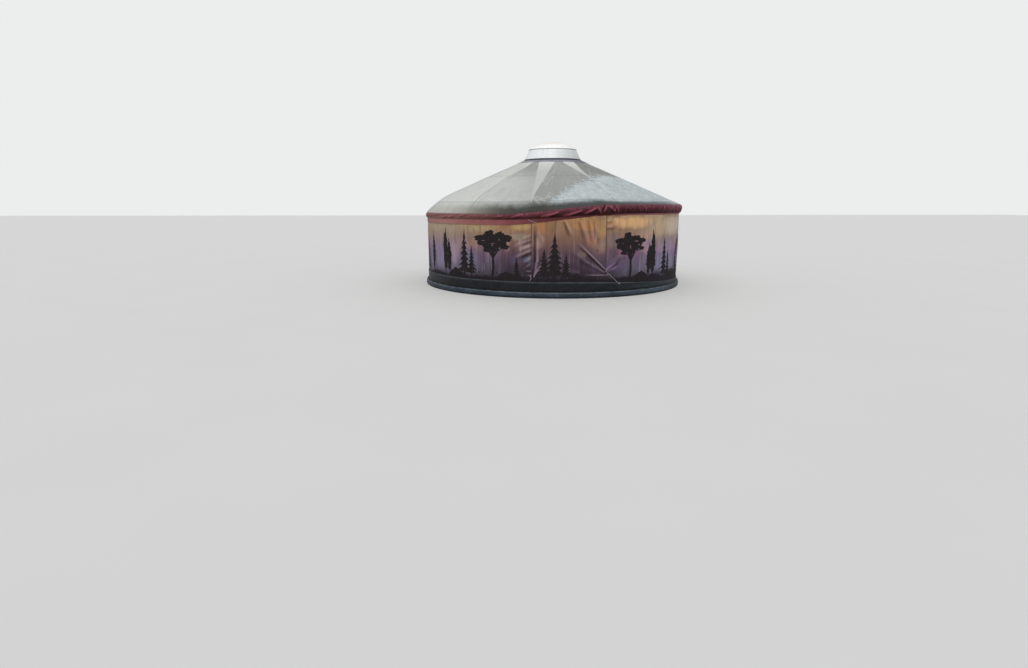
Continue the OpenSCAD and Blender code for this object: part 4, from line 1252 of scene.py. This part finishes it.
# Painted highlight on the cover's crests and painted shade in its hollows.
shade = roof.blend(roof.fade(crest, 0.55, 1.0) * 0.30, shade, "#d6d9d4")
shade = roof.blend(roof.fade(crest, 0.45, 0.0) * 0.30, shade, "#5f6260")
ahead, behind = roof.ahead(), 1 - roof.ahead()
narrow = (0.75 * roof.fade(a, 8, 24) - 0.42 * roof.fade(a, 6, -16)) * ahead
stain = above * (1 + narrow) + 0.07 * (patchy - 0.5) + 0.05 * (streak - 0.5)
warm = roof.blend(roof.fade(a, -62, -18), "#7f7869", "#2c2b25")
cold = roof.blend(roof.fade(a, 12, 55), "#303232", "#60646b")
right_end = roof.fade(a, 46, 64) * roof.fade(a, 110, 90)
deep = 0.35 + 0.62 * (roof.fade(a, -62, -24) * ahead + 0.5 * behind)
tide = roof.fade(stain, 0.165, 0.045) * deep * (1 - 0.7 * right_end)
grime = roof.blend(roof.fade(a, -12, 8) * ahead + 0.5 * behind, warm, cold)
shade = roof.blend(tide * 0.97, shade, grime)
roof.wear("Base Color", shade)
roof.wear("Roughness", 0.6 + 0.25 * patchy)
roof.bump(seam_line, 0.0035, 0.6)
roof.bump(roof.noise(6.5, 5.0, warp=0.6), 0.010, 0.35)
weave(roof, roof.x, roof.y, 2400, 400)

roof_a = spaced(0.42, 0.90)[None, :]
low_edge = roll_foot(roof_a) + 0.03
shoulder = roof_height(3.0118, roof_a)
skirt_r = 3.0120
skirt_tall = shoulder - 0.012 - low_edge
skirt_part = [polar(skirt_r, roof_a, low_edge + skirt_tall * t) for t in (0, 0.55, 0.9, 1.0)]
roof_r = np.concatenate([[3.0085], np.linspace(2.99, 2.70, 12), np.linspace(2.66, 1.10, 36),
                         np.linspace(1.06, 0.654, 9)])
top_part = [polar(x, roof_a, roof_skin(np.full_like(roof_a, x), roof_a)) for x in roof_r]
roof_points = np.concatenate([p.reshape(1, -1, 3) for p in skirt_part + top_part])
above_cone = roof_points[..., 2] + roof_fall * np.hypot(roof_points[..., 0], roof_points[..., 1])
marks = {"above_hem": roof_points[..., 2] - hem_top(roof_a), "crest": relief(above_cone, 3, 1, 0.0080)}
roof_cover = make_cloth("roof_canvas", roof_points, 0.0022, roof, closed=True, marks=marks)
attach(roof_cover, "root")
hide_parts(*[f"roof_cover_{k}" for k in range(1, 7)])

# Star gussets. Long pointed pieces of newer, paler canvas are sewn over the radial seams, widest
# under the crown and running out towards the hem.
new_canvas = Finish("gusset_canvas", Roughness=0.7, Specular_IOR_Level=0.2)
mottling = new_canvas.noise(4.5, 5.0, rough=0.65)
shade = new_canvas.blend(new_canvas.fade(mottling, 0.3, 0.7), "#c7c9c3", "#d3d4cf")
outward = new_canvas.fade(new_canvas.radius() + 0.2 * (mottling - 0.5), 0.9, 1.45)
shade = new_canvas.blend(outward * 0.75, shade, "#b4b6b1")
specks = new_canvas.fade(new_canvas.noise(30, 4.0, rough=0.8), 0.6, 0.8)
shade = new_canvas.blend(specks * 0.3, shade, "#9a9c96")
new_canvas.wear("Base Color", shade)
new_canvas.wear("Roughness", 0.62 + 0.2 * mottling)
new_canvas.bump(new_canvas.noise(7, 5.0, warp=0.5), 0.006, 0.35)
weave(new_canvas, new_canvas.x, new_canvas.y, 2400, 400)
gusset_sizes = (0.15, 0.385, 0.33, 0.16, 0.30, 0.24, 0.36, 0.26, 0.30, 0.22, 0.34, 0.24)
gusset_tips = (2.05, 2.81, 1.80, 1.70, 2.60, 1.95, 2.75, 2.10, 2.50, 2.00, 2.65, 2.20)
gusset_edges = []
for k, (angle, wide, tip) in enumerate(zip(seams, gusset_sizes, gusset_tips)):
    gr = np.linspace(tip, 0.700, 56)[:, None]
    half = wide / 2 * (tip - gr) / (tip - 0.70) + 0.004
    lean = 3.8 * (gr - 1.3) if angle == leaning_seam else 0
    ga = angle + lean + np.degrees(half * np.linspace(-1, 1, 11)[None, :] / gr)
    lift = 0.0016 + 0.0006 * np.sin(np.linspace(0, np.pi, 11))[None, :]
    gusset = make_cloth(f"roof_gusset_{k + 1}", polar(gr, ga, roof_skin(gr, ga) + lift), 0.0012, new_canvas)
    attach(gusset, "root")
    inset = 0.010 / gr[:, 0] / math.radians(1)
    gusset_edges += [(gr[:, 0], ga[:, 0] + inset), (gr[:, 0], ga[:, -1] - inset)]

# Roof stitches. Waxed thread runs down both edges of every gusset and along the seams beyond them.
hem_end = 2.96
stitch_pitch = 0.026
seam_edges = []
for angle, tip in zip(seams, gusset_tips):
    line_r = np.linspace(hem_end, tip, 30)
    seam_edges += [(line_r, angle + side / line_r / math.radians(1)) for side in (-0.008, 0.008)]
stitch_at, stitch_way = [], []
for line_r, line_a in gusset_edges + seam_edges:
    points = polar(line_r, line_a, roof_skin(line_r, line_a) + 0.0026)
    steps = np.concatenate([[0], np.cumsum(np.linalg.norm(np.diff(points, axis=0), axis=1))])
    at = np.arange(0.006, steps[-1], stitch_pitch)
    spots = np.stack([np.interp(at, steps, points[:, i]) for i in range(3)], -1)
    ahead = np.stack([np.interp(at + 0.005, steps, points[:, i]) for i in range(3)], -1) - spots
    good = np.linalg.norm(ahead, axis=1) > 1e-4
    stitch_at.append(spots[good])
    stitch_way.append(ahead[good])


def thread_stitches(nodes, start):
    bar = nodes.add("GeometryNodeMeshCylinder", {},
                    {"Vertices": 5, "Radius": start.out("Thread radius"),
                     "Depth": start.out("Stitch length")})
    return nodes.add("GeometryNodeInstanceOnPoints", {},
                     {"Points": start, "Instance": bar, "Rotation": facing_turn(nodes)})


thread = Finish("waxed_thread", Roughness=0.55)
thread.wear("Base Color", thread.blend(thread.noise(50), "#8b8b84", "#a9a9a1"))
stitch_at, stitch_way = np.concatenate(stitch_at), np.concatenate(stitch_way)
stitches = grow("roof_stitches", seeds("stitch_spots", stitch_at, stitch_way),
                {"Thread radius": 0.0011, "Stitch length": 0.013}, thread_stitches, thread)
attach(stitches, "root")


# Hem. A deep band of dark red cloth is sewn to the eave and gathered up into a crumpled roll, flat
# on the left, full on the right of the doorway and pressed flatter again at the far right. Below it
# hangs a plain strip of paler facing.
def gathers(a, z, crests, slant, seed):
    """Creases with sharp crests, all leaning one way; slant is in degrees for each metre of height."""
    rng = np.random.default_rng(seed)
    total = 0
    for _ in range(5):
        count = round(crests * rng.uniform(0.6, 1.5) / 2)
        lean = slant * rng.uniform(0.6, 1.4)
        total = total + 1 - 2 * np.abs(np.sin(np.radians(count * (a - lean * z)) + rng.uniform(0, 6.28)))
    return total / 2.2


roll_a = spaced(0.26, 0.55)[None, :]
control = np.array([(0.02, 1.00), (0.30, 1.00), (0.62, 0.93), (0.84, 0.76), (1.0, 0.42), (0.96, 0.20),
                    (0.72, 0.06), (0.28, -0.015), (0.0, 0.01)])
steps = np.linspace(0, len(control) - 1, 27)
profile = np.stack([np.interp(steps, range(len(control)), control[:, i]) for i in range(2)], -1)
for _ in range(2):
    profile[1:-1] = (profile[:-2] + 2 * profile[1:-1] + profile[2:]) / 4
out = 0.026 + 0.070 * rise(roll_a)
top, foot = hem_top(roll_a), roll_foot(roll_a)
bulge, down = profile[:, :1], profile[:, 1:]
height = top + (foot - top) * down
puffed = 0.86 + 0.14 * ripple(roll_a, 0, 13, 0, 71) + 0.07 * ripple(roll_a, 0, 44, 0, 78)
crumple = np.sin(np.pi * np.clip(down, 0, 1)) ** 0.5
full = rise(roll_a)
around = signed(roll_a)
tight = 0.0050 * gathers(roll_a, height, 150, 10, 79) + 0.0040 * gathers(roll_a, height, 330, 6, 72)
slack = 0.0035 * gathers(roll_a, height, 110, 34, 74) + 0.0020 * gathers(roll_a, height, 300, 26, 75)
share = ease((full - 0.55) / 0.4)
crease = share * tight + (1 - share) * slack * (0.55 + 0.6 * full)
rng = np.random.default_rng(88)
pulls = [((-10.5, 1.600), (-4.5, 1.705), 0.022, 0.020, 0.4), ((-3.6, 1.620), (4.2, 1.735), 0.026, 0.022, 0.4),
         ((4.6, 1.660), (9.8, 1.790), 0.028, 0.022, 0.4), ((9.9, 1.835), (11.6, 1.690), 0.026, 0.018, 0.4),
         ((12.4, 1.700), (13.6, 1.845), 0.026, 0.018, 0.5), ((13.8, 1.850), (17.0, 1.730), 0.022, 0.018, 0.4)]
at = -176.0
while at < 176:
    here = float(rise(at))
    top_at, foot_at = float(hem_top(at)), float(roll_foot(at))
    tall = top_at - foot_at
    calm = 0.45 if 20 < at < 38 else 1.0
    spread = 1 - here
    if not -9 < at < 16:
        slant = rng.uniform(1.5, 6.5) * spread + rng.uniform(-1.6, 2.0) * here
        low = foot_at + tall * rng.uniform(0.05, 0.30 + 0.35 * spread)
        high = max(low + 0.012, top_at - tall * rng.uniform(0.0, 0.25 + 0.30 * spread))
        ends = [(at - slant / 2, low), (at + slant / 2, high)]
        strength = (0.009 + 0.011 * here) * rng.uniform(0.3, 1.35) * calm
        pulls.append((*(ends if rng.random() < 0.6 + 0.2 * spread else ends[::-1]), strength,
                      rng.uniform(0.010, 0.019), 0.45))
    at += rng.uniform(1.0, 4.4 + 1.2 * spread) * (1.35 - 0.45 * here) / calm ** 0.5
stand, light, shade = folds(around, height, pulls)
crease = crease + np.minimum(stand, 0.034)
pressed = 1 - 0.38 * ease((around - 48) / 22) * ease((135 - around) / 25)
roll_back = 3.0128
reach = roll_back + out * pressed * bulge * puffed + crumple * (crease * pressed + 0.003)
reach = np.maximum(reach, roll_back + 0.0004)
lift = -0.006 * crumple * (1 - full) + 0.8 * crease * (0.5 - down) * full
red = Finish("hem_cloth", Roughness=0.62, Specular_IOR_Level=0.12)
crest = red.mark("crest")
down_mark = red.mark("down")
worn = red.noise(7, 5.0, rough=0.65)
# The roll's crests are painted lighter and its hollows a deeper red: painted highlight and shade, varied with
# wear.
tone = red.blend(red.fade(crest + 0.5 * (worn - 0.5), 0.25, 0.85), "#35121a", "#5f2a34")
tone = red.blend(red.fade(red.noise(2.3, 3.0), 0.45, 0.75) * 0.4, tone, "#74383d")
ahead, behind = red.ahead(), 1 - red.ahead()
# The left of the roll is painted paler: painted light on that side.
left = red.fade(red.angle() + 10 * (worn - 0.5), -14, -58) * ahead
tone = red.blend(left * 0.75, tone, "#8a625a")
right = red.fade(red.angle() + 8 * (worn - 0.5), 34, 50) * red.fade(red.y, 1.0, -0.5)
tone = red.blend(right * 0.5, tone, "#7c4d5a")
# The roll's upper side is painted lighter, a painted highlight.
tone = red.blend(red.fade(down_mark, 0.55, 0.08) * 0.42, tone, "#74424d")
# Painted shade on the roll's lower side.
underside_shade = red.fade(down_mark, 0.45, 0.85) * 0.68
underside_shade = underside_shade * (red.fade(red.angle(), -50, -10) * ahead + 0.6 * behind)
tone = red.blend(underside_shade, tone, "#260c11")
dusty = red.fade(red.angle() + 6 * (worn - 0.5), 46, 66) * red.fade(red.angle(), 120, 95)
tone = red.blend(dusty * red.fade(down_mark, 0.5, 0.05) * 0.55, tone, "#9a7f8e")
tone = red.blend(red.mark("shade") * 0.85, tone, "#4a2a30", "MULTIPLY")
tone = red.blend(red.mark("light") * (0.25 + 0.75 * worn), tone, "#7a4049", "SCREEN")
tone = red.blend(red.fade(red.noise(24, 4.0), 0.6, 0.78) * 0.3, tone, "#2a1015")
# Painted highlights along fine crumples in the roll's upper part, and painted shade in thin dark creases.
crinkle = red.noise(21, 3.0, stretch=(1, 1, 0.45), rough=0.6, warp=1.0)
crumple_highlight = red.fade((crinkle - 0.5).size(), 0.035, 0.004) * red.fade(down_mark, 0.75, 0.15)
tone = red.blend(crumple_highlight * red.fade(worn, 0.35, 0.6) * 0.42, tone, "#a97683")
tone = red.blend(red.fade((crinkle - 0.6).size(), 0.03, 0.004) * 0.35, tone, "#24090f")
red.wear("Base Color", tone)
red.wear("Roughness", 0.5 + 0.3 * worn)
red.bump(red.noise(13, 5.0, stretch=(1, 1, 0.7), warp=0.8), 0.012, 0.45)
weave(red, red.angle() * metres, red.z, 2600, 400)
roll_points = polar(reach, roll_a, height + lift)[::-1]
marks = {"crest": np.clip(0.5 + crease / 0.030, 0, 1)[::-1], "down": (down + 0 * height)[::-1],
         "light": light[::-1], "shade": shade[::-1]}
roll = make_cloth("hem_roll_cloth", roll_points, 0.0015, red, closed=True, sharp=75, marks=marks)
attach(roll, "root")
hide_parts("hem_roll")

fall_a = spaced(0.36, 0.6)[None, :]
fall_rows = np.linspace(0, 1, 7)[:, None]
fall_low, fall_high = fall_foot(fall_a), roll_foot(fall_a) + 0.018
fall_wave = 0.0015 * ripple(fall_a, 0, 50, 0, 76)
fall_z = fall_low + fall_wave * (1 - fall_rows) + (fall_high - fall_low) * fall_rows
fall_face = 3.0112
fall_r = fall_face + (1 - fall_rows) * 0.0016 * (1 + ripple(fall_a, fall_z, 90, 8, 77))
pink = Finish("hem_facing", Roughness=0.72, Specular_IOR_Level=0.12)
worn = pink.noise(6, 5.0, rough=0.65)
shade = pink.blend(pink.fade(worn, 0.3, 0.7), "#7b4547", "#8e5858")
ahead, behind = pink.ahead(), 1 - pink.ahead()
# The left of the facing is painted paler: painted light on that side.
shade = pink.blend(pink.fade(pink.angle() + 8 * (worn - 0.5), -30, -60) * ahead * 0.7, shade, "#a27a73")
# Painted shadow under the fuller part of the hem roll, and half as much at the back.
shadow_under_roll = pink.fade(pink.angle() + 8 * (worn - 0.5), -34, -3) * ahead + 0.5 * behind
shade = pink.blend(shadow_under_roll * 0.88, shade, "#4a2023")
shade = pink.blend(pink.fade(pink.noise(20, 4.0, stretch=(1, 1, 0.3)), 0.58, 0.75) * 0.35, shade, "#5d3437")
# Painted light brightens the facing right of the doorway, against the hem roll's shadow.
right = pink.fade(pink.angle() + 8 * (worn - 0.5), 14, 28) * ahead
shade = pink.blend(right * 0.9, shade, "#a96a74")
pink.wear("Base Color", shade)
pink.wear("Roughness", 0.62 + 0.25 * worn)
pink.bump(pink.noise(16, 4.0, stretch=(1, 1, 0.5), warp=0.6), 0.006, 0.4)
weave(pink, pink.angle() * metres, pink.z, 2600, 400)
fall = make_cloth("hem_facing_strip", polar(fall_r, fall_a, fall_z), 0.0015, pink, closed=True)
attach(fall, "root")
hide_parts("hem_fall")

# Crown. A tapered vinyl curb stands on the crown ring and carries a moulded rim and a white plastic
# dome. A rubber seal and a grey cloth collar close its foot against the roof.
collar_a = np.linspace(0, 360, 300, endpoint=False)[None, :]
collar_r = np.linspace(0.851, 0.6735, 9)[:, None]
pucker = 0.0012 * ripple(collar_a, collar_r, 22, 30, 81) * ease((collar_r - 0.70) / 0.1)
collar_z = roof_height(collar_r, collar_a) + 0.0052 + pucker
grey = Finish("collar_cloth", Roughness=0.6, Specular_IOR_Level=0.2)
rub = grey.noise(14, 4.0, rough=0.6)
from_curb = grey.radius()
shade = grey.blend(grey.fade(rub, 0.3, 0.7), "#7d7e8c", "#93949f")
# Painted shade dims the collar's +X side and a painted highlight brightens its -X side.
shade = grey.blend(grey.fade(grey.x, 0.15, 0.65) * 0.7, shade, "#5f6070")
shade = grey.blend(grey.fade(grey.x, -0.3, -0.75) * 0.5, shade, "#9c9ea2")
# Painted shadow along the collar's inner edge, against the curb.
shade = grey.blend(grey.fade(from_curb + 0.02 * (rub - 0.5), 0.755, 0.725) * 0.92, shade, "#23252d")
grey.wear("Base Color", shade)
grey.wear("Roughness", 0.5 + 0.3 * rub)
grey.bump(grey.noise(30, 4.0, warp=0.5), 0.003, 0.4)
collar = make_cloth("crown_collar", polar(collar_r, collar_a, collar_z), 0.0024, grey, closed=True)
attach(collar, "root")
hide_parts("crown_band")

rubber = Finish("seal_rubber", Roughness=0.55)
rubber.wear("Base Color", rubber.blend(rubber.noise(30), "#1b1b1e", "#2d2d31"))
rubber.bump(rubber.noise(180), 0.0005, 0.5)
dress(rubber, "crown_seal")

vinyl = Finish("curb_vinyl", Roughness=0.4)
stain = vinyl.noise(5, 4.0, stretch=(1, 1, 0.5), rough=0.6)
# The curb is painted lighter on its -X side and greyer on its +X side: painted light and shade.
side = vinyl.fade(vinyl.x + 0.14 * (stain - 0.5), -0.35, 0.55)
shade = vinyl.blend(side, "#e6eaea", "#bcc3c1")
shade = vinyl.blend(vinyl.fade(stain, 0.45, 0.75) * 0.3, shade, "#eef1f0")
shade = vinyl.blend(vinyl.fade(vinyl.noise(9, 4.0, stretch=(1, 1, 0.15)), 0.58, 0.75) * 0.3, shade, "#a4aba8")
# Painted shade dims the foot of the curb.
shade = vinyl.blend(vinyl.fade(vinyl.z + 0.01 * (stain - 0.5), 2.906, 2.897) * 0.6, shade, "#4a4d50")
weld = ((vinyl.angle() * (1 / 24) + 0.28).math("FRACT") - 0.5).size()
weld = vinyl.fade(weld, 0.030, 0.018)
shade = vinyl.blend(weld * 0.3, shade, "#a3aaa9")
upper_weld = vinyl.fade((vinyl.z - 3.088).size(), 0.012, 0.006)
shade = vinyl.blend(upper_weld * 0.5, shade, "#eef1f0")
vinyl.wear("Base Color", shade)
vinyl.wear("Roughness", 0.32 + 0.25 * stain)
vinyl.bump(weld.math("MAXIMUM", upper_weld), 0.0018, 0.5)
vinyl.bump(vinyl.noise(9, 4.0, stretch=(1, 1, 0.4), warp=0.5), 0.004, 0.3)
dress(vinyl, "crown_curb")

moulded = Finish("rim_plastic", Roughness=0.4)
shade = moulded.blend(moulded.noise(8, 4.0), "#969c9c", "#b4baba")
shade = moulded.blend(moulded.fade(moulded.noise(22, 4.0), 0.55, 0.75) * 0.5, shade, "#7b8182")
moulded.wear("Base Color", shade)
moulded.wear("Roughness", 0.3 + 0.3 * moulded.noise(12))
moulded.bump(moulded.noise(200), 0.0003, 0.4)
dress(moulded, "dome_rim")

glazing = Finish("dome_plastic", Roughness=0.3, Coat_Weight=0.3, Coat_Roughness=0.15)
film = glazing.noise(5.5, 5.0, rough=0.6, warp=0.6)
shade = glazing.blend(glazing.fade(film, 0.3, 0.7), "#fbfcfa", "#ffffff")
# A warm painted reflection on the dome's top and in patches, and painted shade on its +X side.
shade = glazing.blend(glazing.fade(glazing.z + 0.03 * (film - 0.5), 3.20, 3.28) * 0.75, shade, "#e8dcc6")
shade = glazing.blend(glazing.fade(glazing.x + 0.2 * (film - 0.5), 0.15, 0.5) * 0.4, shade, "#cfcac2")
warm_reflection_patches = glazing.fade(glazing.noise(3.6, 4.0, stretch=(1, 1, 0.7)), 0.52, 0.72)
shade = glazing.blend(warm_reflection_patches * 0.45, shade, "#dcbfae")
sector = ((glazing.angle() * (1 / 45) + 0.35).math("FRACT") - 0.5).size()
sector = glazing.fade(sector, 0.018, 0.006) * glazing.fade(glazing.radius(), 0.05, 0.15)
shade = glazing.blend(sector * 0.4, shade, "#b9bdbd")
glazing.wear("Base Color", shade)
glazing.wear("Roughness", 0.22 + 0.3 * film)
glazing.bump(sector, 0.002, 0.5)
glazing.bump(glazing.noise(160), 0.0003, 0.3)
dress(glazing, "crown_dome")
